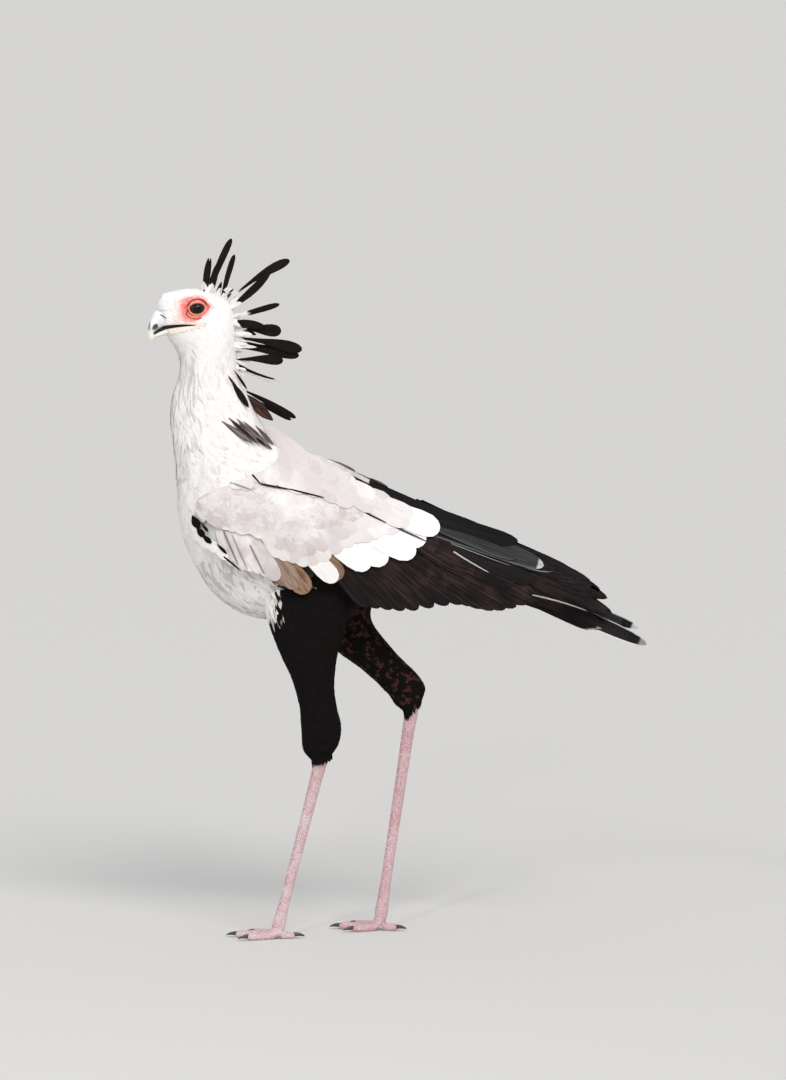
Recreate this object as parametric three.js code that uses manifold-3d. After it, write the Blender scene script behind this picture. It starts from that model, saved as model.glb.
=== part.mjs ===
// A life-size secretary bird, standing in mid stride, as a still museum model. Millimetres, +Z up.
// The bird faces -X, so its left side is at -Y. The floor is at z = 0, and the soles are flat on it.
import * as THREE from "three";
import { mergeVertices } from "three/addons/utils/BufferGeometryUtils.js";
import Module from "manifold-3d";

const wasm = await Module();
wasm.setup();

// Driving sizes
const seam = 0.35; // gap between neighbouring pieces
const vaneThickness = 0.8;
const eyeRadius = 13.4;
const toeRadius = 7.2;

// The whole body from the cere to the rump, as rings between a dorsal and a ventral point of its side outline:
// dorsal x, z, ventral x, z, half width, and how much wider the dorsal half of the ring is than the ventral one.
const bodyStations = [
  [-272, 977, -255, 935, 9.5, 0],
  [-264, 988, -249, 932, 14, 0],
  [-257, 1001, -243, 925, 18.5, 0.05],
  [-239, 1008.5, -235, 911, 23, 0.1],
  [-214, 1012, -231, 897, 26.5, 0.15],
  [-191, 1009, -231, 888, 29, 0.2],
  [-168, 1000, -232, 880, 30.5, 0.2],
  [-152, 984, -234, 873, 31, 0.15],
  [-146, 962, -236.5, 865, 31, 0.1],
  [-146, 936, -239.5, 854, 32, 0.05],
  [-144, 905, -244, 837, 35, 0],
  [-137, 872, -248.5, 811, 40, 0],
  [-125, 842, -250, 779, 48, 0],
  [-104, 799, -247.5, 737, 58, 0],
  [-81, 774, -242.5, 699, 66, 0],
  [-50, 762, -236, 661, 73, 0],
  [-16, 751, -226, 619, 78, 0],
  [23, 733, -207, 577, 81, 0.05],
  [62, 713, -177, 538, 82, 0.1],
  [101, 691, -134, 509, 80, 0.1],
  [132, 671, -80, 498, 76, 0.1],
  [160, 651, -20, 501, 68, 0.1],
  [188, 630, 56, 519, 54, 0],
  [212, 611, 132, 545, 40, 0],
  [228, 598, 211, 565, 25, 0],
];
const headEnd = 8;
const neckMiddle = 11.2;
const neckEnd = 14.3;
const bodySides = 24;

// The folded wing's outer surface: top x, z, bottom x, z, and distance from the mid-plane at its fullest.
const wingStations = [
  [-200, 708, -217, 650, 64],
  [-176, 730, -192, 624, 80],
  [-138, 750, -152, 598, 90],
  [-85, 762, -96, 575, 95],
  [-16, 752, -31, 568, 97],
  [46, 728, 38, 550, 95],
  [108, 698, 105, 524, 88],
  [165, 668, 172, 528, 76],
  [222, 641, 240, 518, 61],
  [287, 615, 305, 523, 53],
  [340, 585, 352, 523, 45],
  [390, 551, 396, 509, 38],
  [432, 508, 426, 499, 31],
];
const wingWrap = 62; // how far the wing's top edge comes in over the back
const wingTuck = 9; // how far its lower edge comes in
const wingDepth = 36; // thickness of the folded wing's core at its fullest
const wingCoreEnd = 6.2;

const centreLine = (points) => new THREE.CatmullRomCurve3(points, false, "centripetal");
const lerp = THREE.MathUtils.lerp;
const smooth = (value, from, to) => THREE.MathUtils.smoothstep(value, from, to);
const point = (x, y, z) => new THREE.Vector3(x, y, z);

// Solids from meshes, and meshes from solids
const tidy = (solid) => solid.asOriginal().simplify(0.03);

function solidOf(geometry) {
  const merged = mergeVertices(geometry, 1e-4);
  const triVerts = new Uint32Array(merged.index.array);
  const vertProperties = new Float32Array(merged.attributes.position.array);
  return new wasm.Manifold(new wasm.Mesh({ numProp: 3, vertProperties, triVerts }));
}

function geometryOf(solid) {
  const mesh = solid.getMesh();
  const positions = new Float32Array(mesh.numVert * 3);
  for (let i = 0; i < mesh.numVert; i++)
    positions.set(mesh.vertProperties.subarray(i * mesh.numProp, i * mesh.numProp + 3), i * 3);
  const geometry = new THREE.BufferGeometry();
  geometry.setAttribute("position", new THREE.BufferAttribute(positions, 3));
  geometry.setIndex(new THREE.BufferAttribute(mesh.triVerts, 1));
  geometry.computeVertexNormals();
  return geometry;
}

const joined = (solids) => solids.reduce((whole, solid) => whole.add(solid));

function largest(solid) {
  const bodies = solid.decompose();
  return tidy(bodies.reduce((best, body) => (body.volume() > best.volume() ? body : best)));
}

function closedMesh(vertices, faces) {
  let volume = 0;
  for (const [a, b, c] of faces)
    volume += vertices[a].dot(point(0, 0, 0).crossVectors(vertices[b], vertices[c]));
  const index = faces.flatMap(([a, b, c]) => (volume > 0 ? [a, b, c] : [a, c, b]));
  const geometry = new THREE.BufferGeometry();
  const flat = new Float32Array(vertices.flatMap((v) => [v.x, v.y, v.z]));
  geometry.setAttribute("position", new THREE.BufferAttribute(flat, 3));
  geometry.setIndex(index);
  return solidOf(geometry);
}

// A skin over rings of equally many points, closed at both ends by a fan to the ring's middle.
function loft(rings) {
  const sides = rings[0].length;
  const vertices = rings.flat();
  const faces = [];
  for (let i = 0; i + 1 < rings.length; i++)
    for (let j = 0; j < sides; j++) {
      const a = i * sides + j;
      const b = i * sides + ((j + 1) % sides);
      faces.push([a, b, b + sides], [a, b + sides, a + sides]);
    }
  for (const [start, turn] of [
    [0, 1],
    [(rings.length - 1) * sides, 0],
  ]) {
    const ring = vertices.slice(start, start + sides);
    const middle = ring.reduce((sum, v) => sum.add(v), point(0, 0, 0)).divideScalar(sides);
    vertices.push(middle);
    for (let j = 0; j < sides; j++) {
      const a = start + j;
      const b = start + ((j + 1) % sides);
      faces.push(turn ? [b, a, vertices.length - 1] : [a, b, vertices.length - 1]);
    }
  }
  return closedMesh(vertices, faces);
}

// A flat blade with an even wall: each section has a left and a right edge, a face normal and a thickness.
// Both faces are split along the same diagonal.
function blade(sections) {
  const vertices = sections.flatMap(({ left, right, normal, thick }) => [
    left.clone().addScaledVector(normal, thick / 2),
    right.clone().addScaledVector(normal, thick / 2),
    right.clone().addScaledVector(normal, -thick / 2),
    left.clone().addScaledVector(normal, -thick / 2),
  ]);
  const faces = [];
  for (let i = 0; i + 1 < sections.length; i++) {
    const [lt, rt, rb, lb] = [0, 1, 2, 3].map((k) => i * 4 + k);
    faces.push([lt, rt + 4, rt], [lt, lt + 4, rt + 4]);
    faces.push([lb, rb, rb + 4], [lb, rb + 4, lb + 4]);
    faces.push([rt, rt + 4, rb + 4], [rt, rb + 4, rb]);
    faces.push([lb, lb + 4, lt + 4], [lb, lt + 4, lt]);
  }
  const last = (sections.length - 1) * 4;
  faces.push([0, 1, 2], [0, 2, 3], [last, last + 2, last + 1], [last, last + 3, last + 2]);
  return closedMesh(vertices, faces);
}

// A round limb along points with a radius at each, wider or narrower sideways by the squash factor.
function limb(points, radii, sides, squash = 1) {
  const rings = points.map((centre, i) => {
    const before = points[Math.max(i - 1, 0)];
    const after = points[Math.min(i + 1, points.length - 1)];
    const along = after.clone().sub(before).normalize();
    const across = point(0, 1, 0).addScaledVector(along, -along.y).normalize();
    const up = point(0, 0, 0).crossVectors(along, across);
    return Array.from({ length: sides }, (_, j) => {
      const turn = (2 * Math.PI * j) / sides;
      return centre
        .clone()
        .addScaledVector(up, radii[i] * Math.cos(turn))
        .addScaledVector(across, radii[i] * squash * Math.sin(turn));
    });
  });
  return loft(rings);
}

function ball(centre, radius, wide = 14, high = 9) {
  const sphere = new THREE.SphereGeometry(radius, wide, high);
  sphere.deleteAttribute("normal");
  sphere.deleteAttribute("uv");
  sphere.rotateX(Math.PI / 2);
  sphere.translate(centre.x, centre.y, centre.z);
  return solidOf(sphere);
}

// The body's rings
const bodyDorsal = centreLine(bodyStations.map(([x, z]) => point(x, 0, z)));
const bodyVentral = centreLine(bodyStations.map(([, , x, z]) => point(x, 0, z)));
const bodyWidth = centreLine(bodyStations.map(([, , , , half, egg], i) => point(i * 10, half, egg * 100)));
const stationCount = bodyStations.length - 1;

function bodyRing(t, grow = 0) {
  const dorsal = bodyDorsal.getPoint(t / stationCount);
  const ventral = bodyVentral.getPoint(t / stationCount);
  const width = bodyWidth.getPoint(t / stationCount);
  const centre = dorsal.clone().add(ventral).divideScalar(2);
  const reach = ventral.clone().sub(centre);
  reach.setLength(reach.length() + grow);
  return { centre, reach, half: width.y + grow, egg: width.z / 100 };
}

const spread = (from, to, steps) =>
  Array.from({ length: steps + 1 }, (_, i) => lerp(from, to, i / steps));

function bodyLoft(places, grow = 0) {
  const rings = places.map((t) => {
    const { centre, reach, half, egg } = bodyRing(t, grow);
    return Array.from({ length: bodySides }, (_, j) => {
      const turn = (2 * Math.PI * j) / bodySides;
      const across = Math.sign(Math.sin(turn)) * Math.abs(Math.sin(turn)) ** 0.9;
      const p = centre.clone().addScaledVector(reach, Math.cos(turn));
      return p.setY(half * across * (1 - egg * Math.cos(turn)));
    });
  });
  if (grow) rings.push(rings.at(-1).map((p) => p.clone().add(point(grow, 0, -grow))));
  return loft(rings);
}

const headPlaces = spread(0, headEnd - 0.015, 19);
const upperNeckPlaces = spread(headEnd + 0.015, neckMiddle - 0.012, 8);
const lowerNeckPlaces = spread(neckMiddle + 0.012, neckEnd - 0.015, 8);
const torsoPlaces = spread(neckEnd + 0.015, stationCount, 18);

// Half the body's width where a line along Y meets it at x, z.
function bodyHalfWidth(x, z, from = 0, to = stationCount) {
  const side = (t) => {
    const { centre, reach } = bodyRing(t);
    return reach.x * (z - centre.z) - reach.z * (x - centre.x);
  };
  let low = from;
  let high = to;
  for (let i = 0; i < 24; i++) {
    const middle = (low + high) / 2;
    if (side(low) * side(middle) <= 0) high = middle;
    else low = middle;
  }
  const { centre, reach, half, egg } = bodyRing(low);
  const along = THREE.MathUtils.clamp(
    ((x - centre.x) * reach.x + (z - centre.z) * reach.z) / reach.lengthSq(),
    -0.97,
    0.97,
  );
  return half * Math.sqrt(1 - along * along) ** 0.9 * (1 - egg * along);
}

// Feathers: blades that widen from a narrow root and end in a round tip
const vaneSteps = [0, 0.3, 0.62, 0.86, 0.96, 1];
const vaneShape = { 0: 0.6, 0.3: 0.9, 0.62: 1, 0.86: 0.86, 0.96: 0.55, 1: 0.2 };
const crestShape = { 0: 0.2, 0.3: 0.36, 0.62: 0.85, 0.86: 1, 0.96: 0.66, 1: 0.22 };

// A feather in free air, flat face across the given side vector.
function freeFeather({ root, tip, sag, width, side, shape = crestShape, thick = vaneThickness }) {
  const middle = root.clone().lerp(tip, 0.5).add(sag);
  const path = new THREE.QuadraticBezierCurve3(root, middle, tip);
  return blade(
    vaneSteps.map((s) => {
      const centre = path.getPoint(s);
      const along = path.getTangent(s);
      const edge = point(0, 0, 0).crossVectors(along, side).normalize();
      const normal = point(0, 0, 0).crossVectors(edge, along).normalize();
      const half = (width / 2) * shape[s];
      return {
        left: centre.clone().addScaledVector(edge, half),
        right: centre.clone().addScaledVector(edge, -half),
        normal,
        thick,
      };
    }),
  );
}

// The crest: where each feather leaves the nape, its length, its rise above the horizontal, its sideways lean and
// its paddle's width. The upper ones stand over the crown and the lower ones trail from the hindneck.
const crestFeathers = [
  { x: -192, z: 1008, y: -9, length: 60, rise: 78, lean: -6, width: 7, sag: 3 },
  { x: -182, z: 1006, y: 6, length: 92, rise: 67, lean: 5, width: 11, sag: 5 },
  { x: -173, z: 1002, y: -12, length: 40, rise: 70, lean: -12, width: 7, sag: 2 },
  { x: -166, z: 998, y: -3, length: 78, rise: 70, lean: -3, width: 11, sag: 4 },
  { x: -160, z: 993, y: 12, length: 66, rise: 52, lean: 14, width: 9, sag: 3 },
  { x: -154, z: 986, y: 4, length: 112, rise: 36, lean: 3, width: 18, sag: 7 },
  { x: -151, z: 981, y: -8, length: 96, rise: 43, lean: -7, width: 13, sag: -6 },
  { x: -147, z: 970, y: -4, length: 74, rise: 18, lean: -5, width: 12, sag: -3 },
  { x: -146, z: 949, y: 8, length: 70, rise: 2, lean: 10, width: 13, sag: 3 },
  { x: -146, z: 943, y: -7, length: 78, rise: -12, lean: -8, width: 18, sag: 4 },
  { x: -146, z: 934, y: 0, length: 112, rise: -10, lean: 1, width: 19, sag: 5 },
  { x: -145, z: 922, y: -10, length: 98, rise: -10, lean: -6, width: 18, sag: -3 },
  { x: -146, z: 912, y: 9, length: 84, rise: 3, lean: 8, width: 15, sag: -4 },
  { x: -145, z: 904, y: -3, length: 92, rise: -23, lean: -3, width: 5, sag: -5 },
  { x: -131, z: 850, y: 4, length: 92, rise: -27, lean: 4, width: 15, sag: 4 },
  { x: -128, z: 843, y: -10, length: 64, rise: -40, lean: -7, width: 18, sag: 3 },
  { x: -112, z: 818, y: -20, length: 70, rise: -38, lean: -6, width: 20, sag: 2 },
  { x: -112, z: 816, y: 14, length: 64, rise: -36, lean: 6, width: 18, sag: 2 },
];

function crestFeather({ x, z, y, length, rise, lean, width, sag }) {
  const up = THREE.MathUtils.degToRad(rise);
  const out = THREE.MathUtils.degToRad(lean);
  const along = point(Math.cos(up) * Math.cos(out), Math.sin(out), Math.sin(up) * Math.cos(out));
  const sunk = 9;
  const root = point(x, y, z).addScaledVector(along, -sunk);
  const tip = point(x, y, z).addScaledVector(along, length);
  const bow = point(-Math.sin(up), 0, Math.cos(up)).multiplyScalar(sag);
  const side = point(0.25 * Math.sin(out), 1, 0.12).normalize();
  return freeFeather({ root, tip, sag: bow, width, side });
}

const crestSolids = (low, high) =>
  crestFeathers.filter(({ z }) => z > low && z <= high).map(crestFeather);

// Head
const eyeSpot = { x: -206, y: 15.2, z: 982.5 };
const mouthLine = [
  [-282, 932, 5],
  [-262, 945.5, 4.6],
  [-250, 950, 4.2],
  [-238, 952.5, 3.6],
  [-218, 954.5, 2.6],
  [-198, 955.5, 1.4],
];
const mirror = [-1, 1];

function mouthSlot() {
  const half = 45;
  return blade(
    mouthLine.map(([x, z, open]) => ({
      left: point(x, -half, z),
      right: point(x, half, z),
      normal: point(0, 0, 1),
      thick: open,
    })),
  );
}

function eyelids(sign) {
  const lidRadius = 2.4;
  const steps = 18;
  const orbit = eyeRadius + 1.7;
  const long = 12.6;
  const high = 8.6;
  const rings = [];
  for (let i = 0; i < steps; i++) {
    const turn = (2 * Math.PI * i) / steps;
    const out = point(long * Math.cos(turn), 0, high * Math.sin(turn) + 1.2 * Math.cos(turn));
    const depth = Math.sqrt(orbit * orbit - out.lengthSq());
    const spoke = out.clone().normalize();
    const forward = point(0, sign, 0);
    const centre = point(eyeSpot.x, sign * (eyeSpot.y + depth), eyeSpot.z).add(out);
    rings.push(
      Array.from({ length: 6 }, (_, j) => {
        const roll = (2 * Math.PI * j) / 6;
        return centre
          .clone()
          .addScaledVector(spoke, lidRadius * Math.cos(roll))
          .addScaledVector(forward, lidRadius * Math.sin(roll));
      }),
    );
  }
  const vertices = rings.flat();
  const faces = [];
  for (let i = 0; i < steps; i++)
    for (let j = 0; j < 6; j++) {
      const a = i * 6 + j;
      const b = i * 6 + ((j + 1) % 6);
      const c = ((i + 1) % steps) * 6 + ((j + 1) % 6);
      const d = ((i + 1) % steps) * 6 + j;
      faces.push([a, b, c], [a, c, d]);
    }
  return closedMesh(vertices, faces);
}

// A ridge that lies on the side of the head, half sunk in it.
function headRidge(sign, route, radii, sunk) {
  const path = centreLine(
    route.map(([x, z]) => point(x, sign * (bodyHalfWidth(x, z, 0, headEnd) - sunk), z)),
  );
  return limb(path.getPoints(radii.length - 1), radii, 6);
}

function buildHead() {
  const skull = bodyLoft(headPlaces);
  const brow = [
    [-230, 989],
    [-214, 998],
    [-196, 1000],
    [-182, 993],
  ];
  const lip = [
    [-252, 944],
    [-234, 947.5],
    [-214, 950],
    [-196, 953.5],
  ];
  const cheek = [
    [-186, 978],
    [-180, 962],
    [-190, 950],
  ];
  const added = mirror.flatMap((sign) => [
    eyelids(sign),
    headRidge(sign, brow, [1, 2.8, 3.4, 2.8, 1], 0.8),
    headRidge(sign, lip, [1, 1.8, 2, 1.8, 1], 0.6),
    headRidge(sign, cheek, [1.5, 4, 5, 4, 1.5], 3),
  ]);
  const nostril = (sign) =>
    limb(
      [point(-266, 0, 974), point(-262, sign * 9, 971), point(-256, sign * 17, 967)],
      [1, 1.6, 1.4],
      6,
      1,
    );
  let head = joined([skull, ...added, ...crestSolids(963, 1100)]);
  head = head.subtract(mouthSlot());
  for (const sign of mirror) {
    head = head.subtract(ball(point(eyeSpot.x, sign * eyeSpot.y, eyeSpot.z), eyeRadius + seam));
    head = head.subtract(nostril(sign));
  }
  return largest(head);
}

// Bill: rings from a top to a bottom point of the side outline with a half width.
function billLoft(stations, sides) {
  return loft(
    stations.map(([topX, topZ, lowX, lowZ, half]) => {
      const centre = point((topX + lowX) / 2, 0, (topZ + lowZ) / 2);
      const reach = point((topX - lowX) / 2, 0, (topZ - lowZ) / 2);
      return Array.from({ length: sides }, (_, j) => {
        const turn = (2 * Math.PI * j) / sides;
        const p = centre.clone().addScaledVector(reach, Math.cos(turn));
        const fuller = 1 - 0.22 * Math.cos(turn);
        return p.setY(half * fuller * Math.sin(turn));
      });
    }),
  );
}

const upperBillStations = [
  [-272.3, 976.6, -261, 949, 9.2],
  [-277.4, 967, -266.5, 946, 8.2],
  [-280.6, 956, -270.6, 942.6, 6.8],
  [-281.8, 945, -273.8, 939.4, 5],
  [-281, 935.5, -276, 934.6, 3.1],
  [-278.2, 928.6, -276.4, 929.4, 1],
];
const lowerBillStations = [
  [-258.9, 942.8, -255.6, 935, 8.6],
  [-264.6, 940, -261.6, 933.4, 7.2],
  [-270, 936.4, -268, 932, 4.8],
  [-273.4, 933, -272.6, 931.4, 1.8],
];

// Wing
const wingTop = centreLine(wingStations.map(([x, z]) => point(x, 0, z)));
const wingLow = centreLine(wingStations.map(([, , x, z]) => point(x, 0, z)));
const wingOut = centreLine(wingStations.map(([, , , , out], i) => point(i * 20, out, 0)));
const wingCount = wingStations.length - 1;

function wingLine(t) {
  const top = wingTop.getPoint(t / wingCount);
  const low = wingLow.getPoint(t / wingCount);
  const centre = top.clone().add(low).divideScalar(2);
  return { centre, reach: low.sub(centre), out: wingOut.getPoint(t / wingCount).y };
}

// Distance of the wing's outer surface from the mid-plane, from -1 at its top edge to 1 at its lower edge.
const wingDistance = (out, across) =>
  Math.max(out - (across < 0 ? Math.min(wingWrap, out * 0.68) : wingTuck) * across * across, 3);

// The point of the wing's surface seen at x, z from the side, lifted outwards.
function onWing(sign, x, z, lift) {
  const side = (t) => {
    const { centre, reach } = wingLine(t);
    return reach.x * (z - centre.z) - reach.z * (x - centre.x);
  };
  let low = 0;
  let high = wingCount;
  for (let i = 0; i < 22; i++) {
    const middle = (low + high) / 2;
    if (side(low) * side(middle) <= 0) high = middle;
    else low = middle;
  }
  const { centre, reach, out } = wingLine(low);
  const across = ((x - centre.x) * reach.x + (z - centre.z) * reach.z) / reach.lengthSq();
  const y = wingDistance(out, THREE.MathUtils.clamp(across, -1.1, 1.35));
  return point(x, sign * Math.max(y + lift, 1.2), z);
}

function wingCore(sign) {
  const steps = 13;
  const sides = 18;
  const rings = [];
  for (let i = 0; i <= steps; i++) {
    const t = lerp(0, wingCoreEnd, i / steps);
    const { centre, reach, out } = wingLine(t);
    const fill = smooth(i / steps, -0.15, 0.3) * lerp(1, 0.3, smooth(i / steps, 0.55, 1));
    const thick = wingDepth * fill;
    const reachShare = lerp(0.6, 0.9, smooth(i / steps, 0, 0.25)) * lerp(1, 0.62, smooth(i / steps, 0.55, 1));
    rings.push(
      Array.from({ length: sides }, (_, j) => {
        const turn = (2 * Math.PI * j) / sides;
        const across = Math.cos(turn) * reachShare;
        const p = centre.clone().addScaledVector(reach, across);
        const ends = 4 * (1 - smooth(i / steps, 0, 0.15)) + 7 * smooth(i / steps, 0.6, 1);
        const outer = wingDistance(out, across) - ends;
        const depth = Math.sin(turn) > 0 ? 0 : thick * -Math.sin(turn);
        return p.setY(sign * Math.max(outer - depth, 1.5));
      }),
    );
  }
  return loft(rings);
}

// A feather on the wing from a root to a tip in the side view. Its lower edge stands out over the next feather.
function wingFeather(sign, { root, tip, bow = 0, width, lift, tilt = 1, sink = 5, thick = vaneThickness }) {
  const start = new THREE.Vector2(...root);
  const end = new THREE.Vector2(...tip);
  const along = end.clone().sub(start).normalize();
  const across = new THREE.Vector2(along.y, -along.x);
  const middle = start.clone().lerp(end, 0.5).addScaledVector(across, bow);
  const path = new THREE.QuadraticBezierCurve(start, middle, end);
  return blade(
    vaneSteps.map((s) => {
      const centre = path.getPoint(s);
      const forward = path.getTangent(s);
      const down = new THREE.Vector2(forward.y, -forward.x);
      const half = (width / 2) * vaneShape[s];
      const rise = lift - sink * (1 - smooth(s, 0, 0.4));
      const low = centre.clone().addScaledVector(down, half);
      const high = centre.clone().addScaledVector(down, -half);
      const left = onWing(sign, low.x, low.y, rise + tilt);
      const right = onWing(sign, high.x, high.y, rise - tilt);
      const ahead = onWing(sign, centre.x + forward.x, centre.y + forward.y, rise);
      const direction = ahead.sub(onWing(sign, centre.x, centre.y, rise));
      const normal = point(0, 0, 0).crossVectors(right.clone().sub(left), direction).normalize();
      return { left, right, normal, thick };
    }),
  );
}

// A row of feathers whose tips follow a line in the side view.
function featherRow(sign, { count, tips, angles, lengths, widths, bow = 0, lift, tilt, sink }) {
  const tipLine = centreLine(tips.map(([x, z]) => point(x, 0, z)));
  return Array.from({ length: count }, (_, i) => {
    const share = i / (count - 1);
    const uneven = 1 + 0.05 * Math.sin(i * 2.4);
    const end = tipLine.getPoint(share);
    const angle = THREE.MathUtils.degToRad(lerp(...angles, share));
    const length = lerp(...lengths, share) * uneven;
    const root = [end.x - length * Math.cos(angle), end.z + length * Math.sin(angle)];
    const width = lerp(...widths, share);
    return wingFeather(sign, { root, tip: [end.x, end.z], bow, width, lift, tilt, sink });
  });
}

const primaries = {
  count: 4,
  tips: [
    [388, 545],
    [408, 528],
    [424, 514],
    [434, 501],
  ],
  angles: [26, 27],
  lengths: [290, 330],
  widths: [24, 24],
  bow: 5,
  lift: -9.5,
  tilt: 1.1,
  sink: 0,
};
const secondaries = {
  count: 8,
  tips: [
    [72, 524],
    [125, 520],
    [206, 528],
    [263, 517],
    [320, 530],
  ],
  angles: [46, 28],
  lengths: [110, 215],
  widths: [34, 36],
  bow: -5,
  lift: -5.6,
  tilt: 1.5,
  sink: 2,
};
const tertials = {
  count: 4,
  tips: [
    [300, 566],
    [336, 572],
    [330, 592],
    [284, 617],
  ],
  angles: [27, 27],
  lengths: [185, 170],
  widths: [33, 30],
  bow: -3,
  lift: -1.6,
  tilt: 1.4,
  sink: 3,
};
const greaterCoverts = {
  count: 9,
  tips: [
    [-142, 588],
    [-60, 560],
    [12, 566],
    [100, 596],
    [171, 640],
  ],
  angles: [62, 22],
  lengths: [52, 96],
  widths: [30, 38],
  bow: -2,
  lift: 2.2,
  tilt: 1.4,
  sink: 7,
};
const scapulars = {
  count: 3,
  tips: [
    [126, 664],
    [88, 690],
    [44, 713],
  ],
  angles: [27, 20],
  lengths: [135, 110],
  widths: [34, 32],
  bow: -2,
  lift: 6,
  tilt: 1.2,
  sink: 10,
};

const torsoSolid = bodyLoft(torsoPlaces);
const torsoRoom = bodyLoft([...lowerNeckPlaces, ...torsoPlaces], seam);

function buildWing(sign, clear) {
  const rows = [primaries, secondaries, tertials, greaterCoverts, scapulars];
  const feathers = rows.flatMap((row) => featherRow(sign, row));
  let wing = joined([wingCore(sign), ...feathers]).subtract(torsoRoom);
  for (const neighbour of clear) wing = wing.subtract(neighbour);
  return largest(wing);
}

// Tail: a short core behind the rump and a folded fan, with the middle pair far longer than the rest
const tailRoot = point(220, 0, 573);
const tailSlope = THREE.MathUtils.degToRad(-22.3);
const tailAlong = point(Math.cos(tailSlope), 0, Math.sin(tailSlope));
const tailUp = point(-Math.sin(tailSlope), 0, Math.cos(tailSlope));
const tailPairs = 6;

const onTail = (along, across, up) =>
  tailRoot
    .clone()
    .addScaledVector(tailAlong, along)
    .addScaledVector(tailUp, up - 0.006 * across * across)
    .setY(across);

function tailFeather(pair, sign) {
  const middlePair = pair === 0;
  const length = middlePair ? 300 : 222 - 9 * pair;
  const half = middlePair ? 11.5 : 12.5;
  const fan = 1 + 1.8 * pair;
  const droop = middlePair ? 8 : 2;
  const layer = -2.2 * pair - (sign > 0 ? 1.1 : 0);
  return blade(
    vaneSteps.map((s) => {
      const across = sign * (6 + fan * (0.4 + s));
      const along = 6 + (length - 6) * s;
      const up = layer - droop * s * s;
      const left = onTail(along, across - half * vaneShape[s], up);
      const right = onTail(along, across + half * vaneShape[s], up);
      return { left, right, normal: tailUp, thick: vaneThickness };
    }),
  );
}

function buildTail() {
  const lengths = [-6, 30, 62, 100];
  const halfWidths = [20, 22, 20, 13];
  const halfHeights = [13, 11, 8.5, 6];
  const core = loft(
    lengths.map((along, i) =>
      Array.from({ length: 14 }, (_, j) => {
        const turn = (2 * Math.PI * j) / 14;
        const across = halfWidths[i] * Math.sin(turn);
        return onTail(along, across, halfHeights[i] * Math.cos(turn) - 6);
      }),
    ),
  );
  const feathers = [];
  for (let pair = 0; pair < tailPairs; pair++)
    for (const sign of mirror) feathers.push(tailFeather(pair, sign));
  return largest(joined([core, ...feathers]).subtract(torsoRoom));
}

// Legs: feathered thigh as rings between a front and a back point, bare shank with scutes, and foot.
// Each leg: thigh rings as front x, z, back x, z, centre y, half width; ankle is where the toes meet.
const legs = {
  left: {
    thigh: [
      [-112, 566, 40, 560, -40, 30],
      [-101, 520, 30, 508, -43, 33],
      [-80, 458, 13, 456, -48, 31],
      [-57, 407, 6, 405, -53, 26],
      [-46, 366, 9, 370, -57, 22.5],
      [-43, 325, 17, 333, -60, 20.5],
      [-40, 299, 13, 311, -61, 16],
      [-28, 285, 3, 294, -60.5, 11],
    ],
    ankle: [-81, -34, 17],
    yaw: -8,
  },
  right: {
    thigh: [
      [-40, 540, 100, 570, 40, 30],
      [-28, 496, 72, 528, 44, 33],
      [4, 447, 62, 492, 49, 31],
      [47, 413, 95, 443, 54, 26],
      [75, 388, 116, 420, 57, 22.5],
      [93, 368, 135, 401, 58, 20.5],
      [104, 353, 147, 381, 57, 16],
      [114, 346, 141, 359, 56, 11],
    ],
    ankle: [79, 45, 26],
    yaw: -8,
  },
};

function thighRings(rows, grow = 0) {
  const front = centreLine(rows.map(([x, z]) => point(x, 0, z)));
  const back = centreLine(rows.map(([, , x, z]) => point(x, 0, z)));
  const middle = centreLine(rows.map(([, , , , y, half], i) => point(i * 30, y, half)));
  const steps = 12;
  return Array.from({ length: steps + 1 }, (_, i) => {
    const f = front.getPoint(i / steps);
    const b = back.getPoint(i / steps);
    const { y, z: half } = middle.getPoint(i / steps);
    const centre = f.clone().add(b).divideScalar(2).setY(y);
    const reach = f.clone().sub(b).divideScalar(2);
    reach.setLength(reach.length() + grow);
    return Array.from({ length: 16 }, (_, j) => {
      const turn = (2 * Math.PI * j) / 16;
      const p = centre.clone().addScaledVector(reach, Math.cos(turn));
      return p.setY(y + (half + grow) * Math.sin(turn));
    });
  });
}

function thighEnd(rows) {
  const [frontX, frontZ, backX, backZ, y] = rows.at(-1);
  const centre = point((frontX + backX) / 2, y, (frontZ + backZ) / 2);
  return centre;
}

const shankTopRadius = 10.4;
const shankRadius = 8.2;
const shankSquash = 0.78;
const scuteCount = 9;

function shankLine(leg) {
  const top = thighEnd(leg.thigh);
  const ankle = point(...leg.ankle);
  const along = ankle.clone().sub(top).normalize();
  return { top, ankle, along, length: top.distanceTo(ankle) };
}

function shankBone(leg, grow = 0) {
  const { top, along, length } = shankLine(leg);
  const shares = [0, 0.06, 0.16, 0.4, 0.7, 0.9, 1];
  const radii = [shankTopRadius, shankTopRadius, 9.4, 9, shankRadius, shankRadius, 9];
  const path = shares.map((s) => top.clone().addScaledVector(along, lerp(-7 - grow, length - 15, s)));
  return limb(
    path,
    radii.map((r) => r + grow),
    12,
    shankSquash,
  );
}

function buildShank(leg) {
  const { top, along, length } = shankLine(leg);
  const reach = length - 15;
  const forward = point(along.z, 0, -along.x);
  const scutes = Array.from({ length: scuteCount }, (_, i) => {
    const from = lerp(0.06, 0.95, i / scuteCount);
    const to = from + (0.86 * 0.89) / scuteCount;
    const radius = lerp(8.7, 7.9, smooth(from, 0.1, 0.8));
    const ends = [from, to].map((s) =>
      top.clone().addScaledVector(along, reach * s).addScaledVector(forward, 1.5),
    );
    return limb(ends, [radius * 0.97, radius * 1.04], 7, shankSquash);
  });
  return largest(joined([shankBone(leg), ...scutes]));
}

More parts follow.
